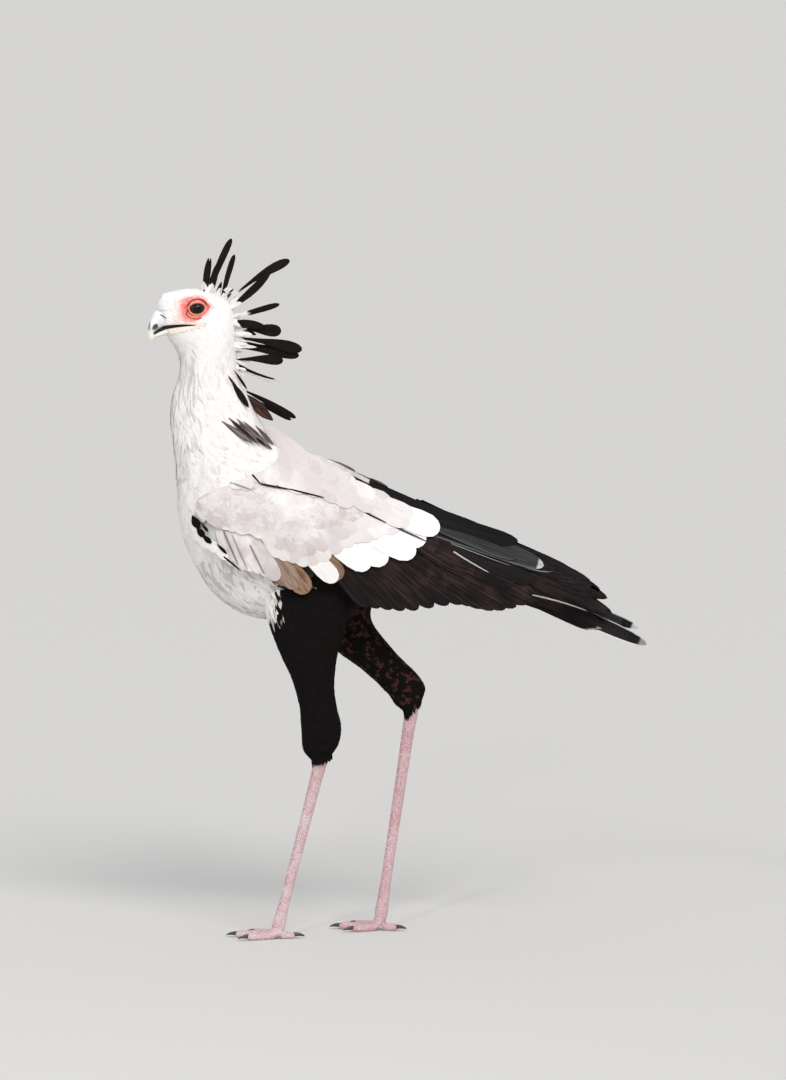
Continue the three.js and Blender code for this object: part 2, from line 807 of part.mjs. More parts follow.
// Foot: three front toes and a short hind toe, turned out from the line of the foot
const toes = [
  { name: "middle", turn: 0, length: 64, thick: 1 },
  { name: "inner", turn: 31, length: 47, thick: 0.95 },
  { name: "outer", turn: -31, length: 50, thick: 0.95 },
  { name: "hind", turn: 172, length: 25, thick: 0.9 },
];

function toeLine(leg, side, toe) {
  const inward = side === "left" ? 1 : -1;
  const heading = THREE.MathUtils.degToRad(180 + leg.yaw - inward * toe.turn);
  const along = point(Math.cos(heading), Math.sin(heading), 0);
  const [x, y] = leg.ankle;
  const start = point(x, y, toeRadius * 0.8);
  return { start, along, end: start.clone().addScaledVector(along, toe.length) };
}

function buildToe(leg, side, toe) {
  const { start, along, end } = toeLine(leg, side, toe);
  const root = start.clone().setZ(leg.ankle[2] - 2);
  const radius = toeRadius * toe.thick;
  const pads = [0.16, 0.34, 0.5, 0.66, 0.82, 1];
  const bulge = [1.1, 1.04, 0.9, 1.06, 0.9, 0.62];
  const points = [root, ...pads.map((s) => start.clone().lerp(end, s).setZ(radius * 0.78))];
  points[1].z = lerp(radius, root.z, 0.4);
  return limb(
    points.map((p, i) => (i ? p : p.addScaledVector(along, -2))),
    [radius * 1.05, ...bulge.map((b) => radius * b)],
    8,
    1.12,
  );
}

function floorCut() {
  const slab = new THREE.BoxGeometry(1200, 1200, 60).toNonIndexed();
  slab.deleteAttribute("normal");
  slab.deleteAttribute("uv");
  slab.translate(0, 0, -30);
  return solidOf(slab);
}

function buildFoot(leg, side) {
  const { ankle, along } = shankLine(leg);
  const stub = limb(
    [
      ankle.clone().addScaledVector(along, -15 + seam),
      ankle.clone().addScaledVector(along, -8),
      ankle.clone().addScaledVector(along, 2),
      ankle.clone().addScaledVector(along, 9),
    ],
    [9, 10.6, 11.4, 8],
    12,
    0.95,
  );
  const pieces = [stub, ...toes.map((toe) => buildToe(leg, side, toe))];
  let foot = joined(pieces).subtract(floorCut());
  for (const toe of toes) foot = foot.subtract(buildClaw(leg, side, toe, seam));
  return largest(foot);
}

function buildClaw(leg, side, toe, grow = 0) {
  const { along, end } = toeLine(leg, side, toe);
  const reach = toe.name === "hind" ? 17 : 19;
  const base = toeRadius * 0.6;
  const arc = [
    [-4, 0.4, 0.8],
    [1, 1.1, 0.86],
    [6, 1.3, 0.72],
    [12, 0.4, 0.46],
    [reach, -2, 0.12],
  ];
  const points = arc.map(([out, up]) =>
    end.clone().addScaledVector(along, out).setZ(toeRadius * 0.78 + up),
  );
  const radii = arc.map(([, , share]) => base * share + grow);
  if (grow) points[0].addScaledVector(along, -grow);
  return limb(points, radii, 6, 0.8);
}

// Materials
const paint = (color, roughness) => new THREE.MeshStandardMaterial({ color, roughness, metalness: 0 });
const whitePlumage = paint(0xdcd8d6, 0.9);
const blackPlumage = paint(0x1a1613, 0.85);
const greyPlumage = paint(0xb9b5b2, 0.9);
const horn = paint(0xb9bcc0, 0.45);
const iris = paint(0x2a1710, 0.1);
const bareSkin = paint(0xd9a3a2, 0.6);
const claw = paint(0x2b2523, 0.4);

const bird = new THREE.Group();

function place(name, solid, material) {
  const mesh = new THREE.Mesh(geometryOf(solid), material);
  mesh.name = name;
  bird.add(mesh);
}

place("head", buildHead(), whitePlumage);
place("bill_upper", billLoft(upperBillStations, 14), horn);
place("bill_lower", billLoft(lowerBillStations, 12), horn);
place("neck_upper", largest(joined([
  bodyLoft(upperNeckPlaces),
  ...crestSolids(880, 963),
])), whitePlumage);
place("neck_lower", largest(joined([
  bodyLoft(lowerNeckPlaces),
  ...crestSolids(700, 880),
])), whitePlumage);
place("torso", torsoSolid, whitePlumage);

for (const [side, sign] of [["left", -1], ["right", 1]]) {
  const leg = legs[side];
  const eyeball = ball(point(eyeSpot.x, sign * eyeSpot.y, eyeSpot.z), eyeRadius);
  place(`eye_${side}`, eyeball, iris);
  const thigh = largest(loft(thighRings(leg.thigh)).subtract(torsoRoom).subtract(shankBone(leg, seam + 0.4)));
  place(`wing_${side}`, buildWing(sign, [loft(thighRings(leg.thigh, seam))]), greyPlumage);
  place(`thigh_${side}`, thigh, blackPlumage);
  place(`shank_${side}`, buildShank(leg), bareSkin);
  place(`foot_${side}`, buildFoot(leg, side), bareSkin);
  toes.forEach((toe) => place(`claw_${side}_${toe.name}`, largest(buildClaw(leg, side, toe)), claw));
}
place("tail", buildTail(), blackPlumage);

// The origin is on the floor, below the middle of the bird's box.
const box = new THREE.Box3().setFromObject(bird, true);
bird.position.set(-(box.min.x + box.max.x) / 2, -(box.min.y + box.max.y) / 2, 0);

export default bird;
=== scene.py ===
import bpy
import math
import numpy as np
from mathutils import Matrix, Vector


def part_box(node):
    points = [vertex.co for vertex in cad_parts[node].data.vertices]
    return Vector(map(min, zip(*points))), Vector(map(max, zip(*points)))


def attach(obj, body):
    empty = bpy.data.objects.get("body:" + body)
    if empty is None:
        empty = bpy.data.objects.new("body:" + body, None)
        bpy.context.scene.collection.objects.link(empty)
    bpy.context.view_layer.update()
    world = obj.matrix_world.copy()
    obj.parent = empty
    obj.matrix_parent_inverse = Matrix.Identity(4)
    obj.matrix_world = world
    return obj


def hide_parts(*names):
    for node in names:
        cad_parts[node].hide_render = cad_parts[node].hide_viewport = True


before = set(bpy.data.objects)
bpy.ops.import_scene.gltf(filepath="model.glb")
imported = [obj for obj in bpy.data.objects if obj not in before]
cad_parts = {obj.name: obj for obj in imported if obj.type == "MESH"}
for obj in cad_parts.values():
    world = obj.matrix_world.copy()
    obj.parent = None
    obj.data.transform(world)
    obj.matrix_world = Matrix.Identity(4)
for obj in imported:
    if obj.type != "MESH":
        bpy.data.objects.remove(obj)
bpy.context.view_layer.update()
bpy.ops.object.select_all(action="DESELECT")
rng = np.random.default_rng(11)

# Places are written in millimetres from the photo's own zero and shifted into the frame by the eye's place.
eyeLow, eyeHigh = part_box("eye_left")
eyeRadius = (eyeHigh.z - eyeLow.z) * 500
eyeSpot = {"x": -206.0, "y": abs(eyeLow.y + eyeHigh.y) * 500, "z": (eyeLow.z + eyeHigh.z) * 500}
shift = (eyeLow.x + eyeHigh.x) * 500 - eyeSpot["x"]
eyeSpot["x"] += 1.5  # the dressed eye sits this much further back than the solid one


def place(points):
    out = np.array(points, float) / 1000
    out[..., 0] += shift / 1000
    return out


def step(value, low, high):
    s = np.clip((np.asarray(value, float) - low) / (high - low), 0, 1)
    return s * s * (3 - 2 * s)


def curveAt(points, t):  # centripetal spline through the points, t from 0 to 1
    p = np.asarray(points, float)
    p = np.vstack([2 * p[0] - p[1], p, 2 * p[-1] - p[-2]])
    n = len(p) - 3
    f = np.clip(np.asarray(t, float), 0, 1) * n
    i = np.minimum(f.astype(int), n - 1)
    w = (f - i)[..., None]
    a, b, c, d = (p[i + k] for k in range(4))
    gap = lambda u, v: np.maximum(np.linalg.norm(u - v, axis=-1, keepdims=True), 1e-6) ** 0.5
    ab, bc, cd = gap(a, b), gap(b, c), gap(c, d)
    into = ((b - a) / ab - (c - a) / (ab + bc) + (c - b) / bc) * bc
    away = ((c - b) / bc - (d - b) / (bc + cd) + (d - c) / cd) * bc
    return b + into * w + (3 * (c - b) - 2 * into - away) * w**2 + (2 * (b - c) + into + away) * w**3


def nearLine(x, z, points, closed=False):  # distance from a line of points in the side view
    p = np.asarray(points, float)
    ends = np.roll(p, -1, 0) if closed else p[1:]
    best = np.full(np.shape(x), 1e9)
    for (ax, az), (bx, bz) in zip(p, ends):
        s = ((x - ax) * (bx - ax) + (z - az) * (bz - az)) / ((bx - ax) ** 2 + (bz - az) ** 2)
        s = np.clip(s, 0, 1)
        best = np.minimum(best, np.hypot(x - ax - s * (bx - ax), z - az - s * (bz - az)))
    return best


def insideLine(x, z, points):  # distance to a closed line, positive inside it
    p = np.asarray(points, float)
    within = np.zeros(np.shape(x), bool)
    for (ax, az), (bx, bz) in zip(p, np.roll(p, -1, 0)):
        crosses = (az > z) != (bz > z)
        within ^= crosses & (x < (bx - ax) * (z - az) / ((bz - az) or 1e-9) + ax)
    return nearLine(x, z, points, True) * np.where(within, 1, -1)


body = {
    "stations": [  # dorsal x, z, ventral x, z, half width, extra width below
        [-270.5, 977, -254, 936, 8.5, 0],
        [-267, 991, -249, 932, 14, 0],
        [-259, 1002.5, -243, 925, 18.5, 0.05],
        [-239, 1008.5, -235, 911, 23, 0.1],
        [-214, 1012, -231, 897, 26.5, 0.15],
        [-191, 1009, -231, 888, 29, 0.2],
        [-168, 1000, -232, 880, 30.5, 0.2],
        [-152, 984, -234, 873, 31, 0.15],
        [-146, 962, -236.5, 865, 31, 0.1],
        [-146, 936, -239.5, 854, 32, 0.05],
        [-144, 905, -244, 837, 35, 0],
        [-137, 872, -245.5, 811, 40, 0],
        [-125, 842, -243, 779, 48, 0],
        [-104, 799, -239, 737, 58, 0],
        [-81, 774, -236.5, 699, 66, 0],
        [-50, 762, -235, 661, 73, 0],
        [-16, 751, -225, 618, 78, 0],
        [23, 733, -206, 575, 81, 0.05],
        [62, 713, -177, 536, 82, 0.1],
        [101, 691, -134, 506, 80, 0.1],
        [132, 671, -80, 497, 76, 0.1],
        [160, 651, -20, 500, 68, 0.1],
        [188, 630, 56, 519, 54, 0],
        [212, 611, 132, 545, 40, 0],
        [228, 598, 211, 565, 25, 0],
        [262, 584, 252, 555, 21, 0],  # the last two carry the coverts over the tail's base
        [300, 566, 294, 545, 14, 0],
    ],
}


def bodyPoints(t, turn, inset=0.0):  # t in stations, turn 0 below and pi above
    st = np.array(body["stations"], float)
    share = np.asarray(t, float) / (len(st) - 1)
    top = curveAt(st[:, 0:2], share)
    low = curveAt(st[:, 2:4], share)
    wide = curveAt(np.c_[np.arange(len(st)) * 10.0, st[:, 4], st[:, 5] * 100], share)
    mid = (top + low) / 2
    reach = low - mid
    size = np.linalg.norm(reach, axis=-1, keepdims=True)
    reach = reach * np.maximum(size - inset, 1) / size
    c, s = np.cos(turn), np.sin(turn)
    half = np.maximum(wide[..., 1] - inset, 0.8)
    y = half * np.sign(s) * np.abs(s) ** 0.9 * (1 - wide[..., 2] / 100 * c)
    return np.stack([mid[..., 0] + reach[..., 0] * c, y, mid[..., 1] + reach[..., 1] * c], -1)


wing = {
    "stations": [  # top x, z, bottom x, z, distance from the mid-plane
        [-200, 708, -217, 650, 64],
        [-176, 730, -192, 624, 80],
        [-138, 750, -152, 598, 90],
        [-85, 762, -96, 575, 95],
        [-16, 752, -31, 568, 97],
        [46, 728, 38, 550, 95],
        [108, 698, 105, 524, 88],
        [165, 668, 172, 528, 76],
        [222, 641, 240, 518, 61],
        [287, 615, 305, 523, 53],
        [340, 585, 352, 523, 45],
        [390, 551, 396, 509, 38],
        [432, 508, 426, 499, 31],
    ],
    "wrap": 62,  # how far the top edge comes in over the back
    "tuck": 9,
    "depth": 34,
}
wingArray = np.array(wing["stations"], float)
wingCount = len(wingArray) - 1


def wingLine(t):
    share = np.asarray(t, float) / wingCount
    top = curveAt(wingArray[:, 0:2], share)
    low = curveAt(wingArray[:, 2:4], share)
    out = curveAt(np.c_[np.arange(len(wingArray)) * 20.0, wingArray[:, 4]], share)[..., 1]
    return (top + low) / 2, (low - top) / 2, out


def wingDistance(out, across):
    rise = np.where(across < 0, np.minimum(wing["wrap"], out * 0.68), wing["tuck"])
    return np.maximum(out - rise * across**2, 3)


def wingTable():  # the wing's distance from the mid-plane over a grid of the side view
    xs = np.arange(-260, 520, 4.0)
    zs = np.arange(440, 812, 4.0)
    x, z = np.meshgrid(xs, zs, indexing="ij")
    low = np.zeros(x.shape)
    high = np.full(x.shape, float(wingCount))
    for _ in range(16):
        mid = (low + high) / 2
        side = []
        for t in (low, mid):
            centre, reach, _ = wingLine(t)
            side.append(reach[..., 0] * (z - centre[..., 1]) - reach[..., 1] * (x - centre[..., 0]))
        crossed = side[0] * side[1] <= 0
        high = np.where(crossed, mid, high)
        low = np.where(crossed, low, mid)
    centre, reach, out = wingLine(low)
    across = (x - centre[..., 0]) * reach[..., 0] + (z - centre[..., 1]) * reach[..., 1]
    across /= (reach**2).sum(-1)
    distance = wingDistance(out, np.clip(across, -1.1, 1.35))
    return xs, zs, distance, low / wingCount, np.clip(across / 3 + 0.5, 0, 1)


tableX, tableZ, tableY, tableAlong, tableAcross = wingTable()


def wingAt(x, z, table=tableY):  # the table's value at a place of the side view
    fx = np.clip((np.asarray(x) - tableX[0]) / 4, 0, len(tableX) - 1.001)
    fz = np.clip((np.asarray(z) - tableZ[0]) / 4, 0, len(tableZ) - 1.001)
    i, j = fx.astype(int), fz.astype(int)
    a, b = fx - i, fz - j
    top = table[i, j + 1] * (1 - a) + table[i + 1, j + 1] * a
    return (table[i, j] * (1 - a) + table[i + 1, j] * a) * (1 - b) + top * b


legs = {
    "left": {
        "thigh": [  # front x, z, back x, z, middle y, half width
            [-112, 566, 40, 560, -40, 30],
            [-101, 520, 30, 508, -43, 33],
            [-80, 458, 13, 456, -48, 31],
            [-57, 407, 6, 405, -53, 26],
            [-46, 366, 9, 370, -57, 22.5],
            [-43, 325, 17, 333, -60, 20.5],
            [-40, 299, 13, 311, -61, 16],
            [-28, 285, 3, 294, -60.5, 11],
        ],
        "ankle": (-81, -34, 17),
    },
    "right": {
        "thigh": [
            [-40, 540, 100, 570, 40, 30],
            [-28, 496, 72, 528, 44, 33],
            [4, 447, 62, 492, 49, 31],
            [47, 413, 95, 443, 54, 26],
            [75, 388, 116, 420, 57, 22.5],
            [93, 368, 135, 401, 58, 20.5],
            [104, 353, 147, 381, 57, 16],
            [114, 346, 141, 359, 56, 11],
        ],
        "ankle": (79, 45, 26),
    },
    "heading": 172,  # both feet point this way, in degrees from +X
}


def thighPoints(side, t, turn, inset=0.0):  # t from 0 to 1 down the thigh, turn 0 in front
    rows = np.array(legs[side]["thigh"], float)
    front = curveAt(rows[:, 0:2], t)
    back = curveAt(rows[:, 2:4], t)
    wide = curveAt(np.c_[np.arange(len(rows)) * 30.0, rows[:, 4:6]], t)
    mid = (front + back) / 2
    reach = front - mid
    size = np.linalg.norm(reach, axis=-1, keepdims=True)
    reach = reach * np.maximum(size - inset, 1) / size
    half = np.maximum(wide[..., 2] - inset, 1)
    c, s = np.cos(turn), np.sin(turn)
    x, z = mid[..., 0] + reach[..., 0] * c, mid[..., 1] + reach[..., 1] * c
    return np.stack([x, wide[..., 1] + half * s, z], -1)


class Surface:  # a closed sheet of points that feathers are laid on, u along and v around
    def __init__(self, points):
        self.p = points
        ringed = np.concatenate([points[:, -1:], points, points[:, :1]], 1)
        pu = np.gradient(points, axis=0)
        pv = np.gradient(ringed, axis=1)[:, 1:-1]
        n = np.cross(pu, pv)
        n /= np.maximum(np.linalg.norm(n, axis=-1, keepdims=True), 1e-9)
        middle = points.mean(1, keepdims=True)
        if ((points - middle) * n).sum() < 0:
            n = -n
        self.n = n
        self.lu = np.maximum(np.linalg.norm(pu, axis=-1), 0.05)
        self.lv = np.maximum(np.linalg.norm(pv, axis=-1), 0.05)

    @staticmethod
    def look(grid, u, v):
        nu, nv = grid.shape[:2]
        u = np.clip(u, 0, nu - 1.001)
        v = np.mod(v, nv)
        i, j = u.astype(int), v.astype(int) % nv
        a, b = u - i, v - np.floor(v)
        if grid.ndim == 3:
            a, b = a[..., None], b[..., None]
        k = (j + 1) % nv
        near = grid[i, j] * (1 - a) + grid[i + 1, j] * a
        return near * (1 - b) + (grid[i, k] * (1 - a) + grid[i + 1, k] * a) * b


def meshObject(name, verts, faces):
    mesh = bpy.data.meshes.new(name)
    faces = np.asarray(faces)
    size = faces.shape[1]
    mesh.vertices.add(len(verts))
    mesh.vertices.foreach_set("co", np.asarray(verts, np.float32).ravel())
    mesh.loops.add(faces.size)
    mesh.loops.foreach_set("vertex_index", faces.ravel().astype(np.int32))
    mesh.polygons.add(len(faces))
    mesh.polygons.foreach_set("loop_start", np.arange(0, faces.size, size, dtype=np.int32))
    mesh.polygons.foreach_set("loop_total", np.full(len(faces), size, np.int32))
    mesh.polygons.foreach_set("use_smooth", np.ones(len(faces), bool))
    mesh.update(calc_edges=True)
    obj = bpy.data.objects.new(name, mesh)
    bpy.context.scene.collection.objects.link(obj)
    return obj


def attribute(obj, name, values):
    layer = obj.data.attributes.new(name, "FLOAT", "POINT")
    layer.data.foreach_set("value", np.asarray(values, np.float32).ravel())


def bakeMap(obj, pointUv):  # a UV map from one place for each vertex
    uv = obj.data.uv_layers.new(name="OFBake")
    loops = np.empty(len(obj.data.loops), np.int32)
    obj.data.loops.foreach_get("vertex_index", loops)
    uv.data.foreach_set("uv", np.asarray(pointUv, np.float32)[loops].ravel())


def finish(obj, material, slot, *nodes):
    obj.data.materials.clear()
    obj.data.materials.append(material)
    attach(obj, "root")
    if nodes:
        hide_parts(*nodes)


profiles = {  # places along a feather and its half width there
    "contour": ([0, 0.25, 0.55, 0.8, 0.93, 1], [0.35, 0.8, 1, 0.86, 0.5, 0.06]),
    "lance": ([0, 0.2, 0.45, 0.7, 0.88, 1], [0.4, 0.85, 1, 0.75, 0.42, 0.04]),
    "covert": ([0, 0.2, 0.45, 0.68, 0.84, 0.94, 0.985, 1], [0.4, 0.7, 0.92, 1, 0.93, 0.68, 0.36, 0.05]),
    "flight": (
        [0, 0.12, 0.25, 0.4, 0.55, 0.7, 0.82, 0.9, 0.95, 0.985, 1],
        [0.4, 0.65, 0.82, 0.94, 1, 0.99, 0.93, 0.8, 0.6, 0.33, 0.04],
    ),
    "paddle": (
        [0, 0.12, 0.28, 0.44, 0.58, 0.7, 0.8, 0.89, 0.95, 0.985, 1],
        [0.12, 0.16, 0.24, 0.42, 0.68, 0.9, 1, 0.95, 0.74, 0.44, 0.06],
    ),
    "strap": (
        [0, 0.1, 0.24, 0.4, 0.55, 0.7, 0.82, 0.91, 0.96, 0.99, 1],
        [0.2, 0.35, 0.62, 0.82, 0.94, 1, 0.98, 0.85, 0.62, 0.32, 0.06],
    ),
    "leaf": (
        [0, 0.12, 0.27, 0.42, 0.57, 0.7, 0.82, 0.92, 0.97, 1],
        [0.15, 0.38, 0.72, 0.94, 1, 0.94, 0.76, 0.46, 0.25, 0.04],
    ),
    "thread": ([0, 0.2, 0.4, 0.6, 0.8, 0.95, 1], [0.7, 1, 1, 0.95, 0.8, 0.5, 0.1]),
}


def ringFaces(count, rows, sides):  # quads of many closed vanes at once
    i = np.arange(rows - 1)[:, None] * sides
    j = np.arange(sides)[None, :]
    k = (j + 1) % sides
    wall = np.stack([i + j, i + k, i + k + sides, i + j + sides], -1).reshape(-1, 4)
    half = sides // 2
    ends = []
    for base, turned in ((0, True), ((rows - 1) * sides, False)):
        for q in range(half - 1):  # quads across the ring, from the edges to the middle
            quad = [base + q, base + q + 1, base + (sides - q - 2) % sides, base + (sides - q - 1) % sides]
            ends.append(quad[::-1] if turned else quad)
    one = np.vstack([wall[:, ::-1], np.array(ends)[:, ::-1]])
    return (one[None] + (np.arange(count) * rows * sides)[:, None, None]).reshape(-1, 4)


def vaneGrid(profile, columns):
    s, w = (np.array(a, float) for a in profiles[profile])
    across = np.linspace(-1, 1, columns)
    c = np.r_[across, across[::-1][1:-1]]
    top = np.r_[np.ones(columns), np.zeros(columns - 2)]
    return s, w, c, top


def markFeathers(obj, shape, S, C, length, marks):  # what the feather materials read
    n = shape[0]
    obj.data.set_sharp_from_angle(angle=math.radians(50))  # crisp rims, smooth faces
    fill = np.ones(shape)
    attribute(obj, "along", S * fill)
    attribute(obj, "across", C * fill)
    attribute(obj, "shade", rng.uniform(0, 1, n)[:, None, None] * fill)
    attribute(obj, "size", np.reshape(length, (n, 1, 1)) / 100 * fill)
    for name, values in marks.items():
        values = np.asarray(values, float)
        values = values[:, None, None] if values.ndim == 1 else values
        attribute(obj, name, values * fill)


def vaneMap(obj, shape, S, C, spot, cells=None):  # a patch at the vane's spot, or its own cell of a grid
    wide, long = 0.0014, 0.0028
    if cells:
        number, size = np.arange(shape[0]) + cells[0], 1 / cells[1]
        spot = np.stack([(number % cells[1] + 0.5) * size, (number // cells[1] + 0.5) * size], -1)
        wide, long = 0.3 * size, 0.9 * size
    fill = np.ones(shape)
    patch = np.stack([C * wide * fill, (S - 0.5) * long * fill], -1)
    bakeMap(obj, (spot[:, None, None, :] + patch).reshape(-1, 2))


def layFeathers(name, surface, u, v, spec, marks, angle=0.0, scale=1.0):  # vanes that follow a surface
    n = len(u)
    s, w, c, top = vaneGrid(spec["profile"], spec.get("columns", 3))
    length = spec["length"] * scale * rng.uniform(0.85, 1.15, n)
    width = spec["width"] * scale**0.7 * rng.uniform(0.85, 1.15, n)
    angle = angle + rng.normal(0, spec.get("stray", 0.08), n)
    lift = spec["lift"] * rng.uniform(0.4, 1.6, n) * spec.get("rise", 1.0)
    S = s[None, :, None]
    W = w[None, :, None]
    C = c[None, None, :]
    sweep = rng.normal(0, spec.get("curl", 0.1), n)[:, None, None]
    along = length[:, None, None] * S * np.ones_like(C)
    across = width[:, None, None] / 2 * W * C + sweep * length[:, None, None] * S**2
    ca, sa = np.cos(angle)[:, None, None], np.sin(angle)[:, None, None]
    lu = surface.look(surface.lu, u, v)[:, None, None]
    lv = surface.look(surface.lv, u, v)[:, None, None]
    uu = u[:, None, None] + (along * ca - across * sa) / lu
    vv = v[:, None, None] + (along * sa + across * ca) / lv
    base = surface.look(surface.p, uu, vv)
    normal = surface.look(surface.n, uu, vv)
    beyond = np.maximum(uu - (surface.p.shape[0] - 1.01), 0)  # past the end the feather goes straight on
    end = surface.p[-1].mean(0) - surface.p[-3].mean(0)
    base = base + beyond[..., None] * end / 2
    rise = -spec["sink"] * (1 - step(S, 0, 0.6)) + lift[:, None, None] * S**1.3
    crown = spec["camber"] * width[:, None, None] * (1 - C**2) * np.minimum(W, 1)
    thick = spec["thick"] * (1 - C**2) ** 0.5 * (1 - top)[None, None, :]
    points = base + normal * (rise + crown - thick)[..., None]
    shape = n, len(s), len(c)
    obj = meshObject(name, place(points.reshape(-1, 3)), ringFaces(*shape))
    markFeathers(obj, shape, S, C, length, marks)
    spot = np.stack([(u + 0.5) / surface.p.shape[0], np.mod(v, surface.p.shape[1]) / surface.p.shape[1]], -1)
    vaneMap(obj, shape, S, C, 0.004 + 0.992 * spot)
    print(name, n, "feathers", len(obj.data.polygons) * 2, "triangles")
    return obj


def scatter(surface, uRange, spacing, keep=None):  # rows of roots, each set off by half a gap
    us, vs = [], []
    u = uRange[0]
    row = 0
    nv = surface.p.shape[1]
    while u < uRange[1]:
        ring = surface.look(surface.p, np.full(64, u), np.arange(64) * nv / 64)
        girth = np.linalg.norm(ring - np.roll(ring, 1, 0), axis=-1).sum()
        gap = spacing(u)
        count = max(int(girth / gap), 5)
        v = (np.arange(count) + 0.5 * (row % 2)) * nv / count
        arcs = surface.look(surface.lv, np.full(512, u), np.arange(512) * nv / 512)
        total = np.r_[0, np.cumsum(arcs)]
        v = np.interp(v / nv * total[-1], total, np.arange(513) * nv / 512)
        us.append(np.full(count, u))
        vs.append(v)
        mean = surface.look(surface.lu, np.full(64, u), np.arange(64) * nv / 64).mean()
        u += 0.82 * gap / mean
        row += 1
    u, v = np.concatenate(us), np.concatenate(vs)
    local = surface.look(surface.lu, u, v)
    u = u + rng.normal(0, 0.22, len(u)) * spacing(u.mean()) / local
    v = v + rng.normal(0, 0.16, len(v)) * spacing(u.mean()) / surface.look(surface.lv, u, v)
    p = surface.look(surface.p, u, v)
    if keep is not None:
        sure = keep(p, u, v)
        u, v, p = u[sure], v[sure], p[sure]
    return u, v, p


class Paint:  # one material and the nodes that it is mixed from
    def __init__(self, name):
        self.mat = bpy.data.materials.new(name)
        self.mat.use_nodes = True
        self.at = self.node("TexCoord").outputs["Object"]

    def fill(self, target, inputs):
        for key, value in inputs.items():
            if isinstance(value, bpy.types.NodeSocket):
                self.mat.node_tree.links.new(value, target.inputs[key])
            else:
                target.inputs[key].default_value = value

    def node(self, kind, inputs=(), **settings):
        made = self.mat.node_tree.nodes.new("ShaderNode" + kind)
        for key, value in settings.items():
            setattr(made, key, value)
        self.fill(made, dict(inputs))
        return made

    def done(self, inputs):
        self.fill(self.mat.node_tree.nodes["Principled BSDF"], inputs)
        return self.mat

    def sums(self, operation, *values):
        return self.node("Math", dict(enumerate(values)), operation=operation).outputs[0]

    def mul(self, a, b):
        return self.sums("MULTIPLY", a, b)

    def vector(self, operation, *values):
        return self.node("VectorMath", dict(enumerate(values)), operation=operation).outputs

    def mix(self, share, a, b):
        made = self.node("Mix", {"Factor": share}, data_type="RGBA")
        self.fill(made, {k: (*v, 1) if isinstance(v, tuple) else v for k, v in ((6, a), (7, b))})
        return made.outputs[2]

    def ramp(self, value, low, high):  # smooth step from 0 at low to 1 at high
        inputs = {"Value": value, "From Min": low, "From Max": high}
        return self.node("MapRange", inputs, interpolation_type="SMOOTHSTEP").outputs["Result"]

    def noise(self, vector, scale, detail):
        inputs = {"Vector": vector, "Scale": scale, "Detail": detail, "Roughness": 0.55}
        return self.node("TexNoise", inputs).outputs["Fac"]

    def mark(self, name):
        return self.node("Attribute", attribute_name=name).outputs["Fac"]

    def mapped(self, **inputs):
        inputs = {key.title(): value for key, value in inputs.items()}
        return self.node("Mapping", {"Vector": self.at, **inputs}).outputs[0]

    def home(self):  # the photo's own zero
        return self.mapped(location=(-shift / 1000, 0, 0))

    def bump(self, height, distance, strength):
        inputs = {"Height": height, "Distance": distance, "Strength": strength}
        return self.node("Bump", inputs).outputs["Normal"]

    def barbs(self, density=90.0, lean=1.4):  # fine slanted lines on both sides of the shaft
        along = self.mul(self.mark("along"), self.mark("size"))
        side = self.sums("ABSOLUTE", self.mark("across"))
        slant = self.sums("SUBTRACT", self.mul(along, density), self.mul(side, lean))
        wavy = self.sums("MULTIPLY_ADD", self.mark("shade"), 7.0, slant)
        wave = self.sums("SINE", self.mul(wavy, 6.283))
        return wave, self.sums("SUBTRACT", 1.0, self.ramp(side, 0.0, 0.12))

    def streaks(self, wide=2.6, long=2.2):  # soft streaks that run along each feather
        along = self.mul(self.mark("along"), self.mark("size"))
        inputs = {
            0: self.mul(self.mark("across"), wide),
            1: self.mul(along, long),
            2: self.mul(self.mark("shade"), 91.0),
        }
        return self.noise(self.node("CombineXYZ", inputs).outputs[0], 1.6, 3)


def plumageMaterial():
    p = Paint("plumage")
    look = {
        "white": (0.90, 0.885, 0.875),
        "tone": (0.53, 0.465, 0.465),  # the rosy grey of the wing coverts
        # painted shade: the mauve grey laid on shadowed gaps, folds, throat and belly
        "greyShade": (0.33, 0.28, 0.30),
        "buff": (0.29, 0.19, 0.125),
        "rust": (0.16, 0.085, 0.05),
        "black": (0.0045, 0.0038, 0.0036),
        "mottle": (0.060, 0.022, 0.016),
    }
    shade = p.mark("shade")
    streak = p.streaks()
    wide = p.noise(p.at, 16, 3)
    toned = p.mul(p.mark("tone"), p.ramp(wide, 0.12, 0.56))
    color = p.mix(toned, look["white"], look["tone"])
    color = p.mix(p.mul(p.ramp(shade, 0.6, 1.0), 0.16), color, look["tone"])
    soft = p.mul(p.ramp(streak, 0.5, 0.68), 0.22)
    color = p.mix(soft, color, look["tone"])
    # painted shade: mauve grey where feathers are marked as lying in shade
    color = p.mix(p.mark("greyShade"), color, p.mix(streak, look["greyShade"], look["tone"]))
    patchy = p.ramp(p.noise(p.at, 22, 2), 0.60, 0.74)
    stain = p.mul(patchy, p.mul(p.mark("tone"), 0.4))
    color = p.mix(stain, color, (0.74, 0.55, 0.42))
    warm = p.mix(p.ramp(streak, 0.42, 0.62), look["buff"], look["rust"])
    color = p.mix(p.mark("rust"), color, warm)
    mottled = p.mul(p.mark("mottle"), p.ramp(p.noise(p.at, 110, 3), 0.53, 0.62))
    black = p.mix(mottled, look["black"], look["mottle"])
    color = p.mix(p.mark("dark"), color, black)
    wave = p.barbs()[0]
    height = p.sums("ADD", p.mul(wave, 0.3), p.mul(streak, 1.6))
    return p.done({
        "Base Color": color, "Roughness": 0.85, "Specular IOR Level": 0.08,
        "Normal": p.bump(height, 0.0003, 0.6),
    })


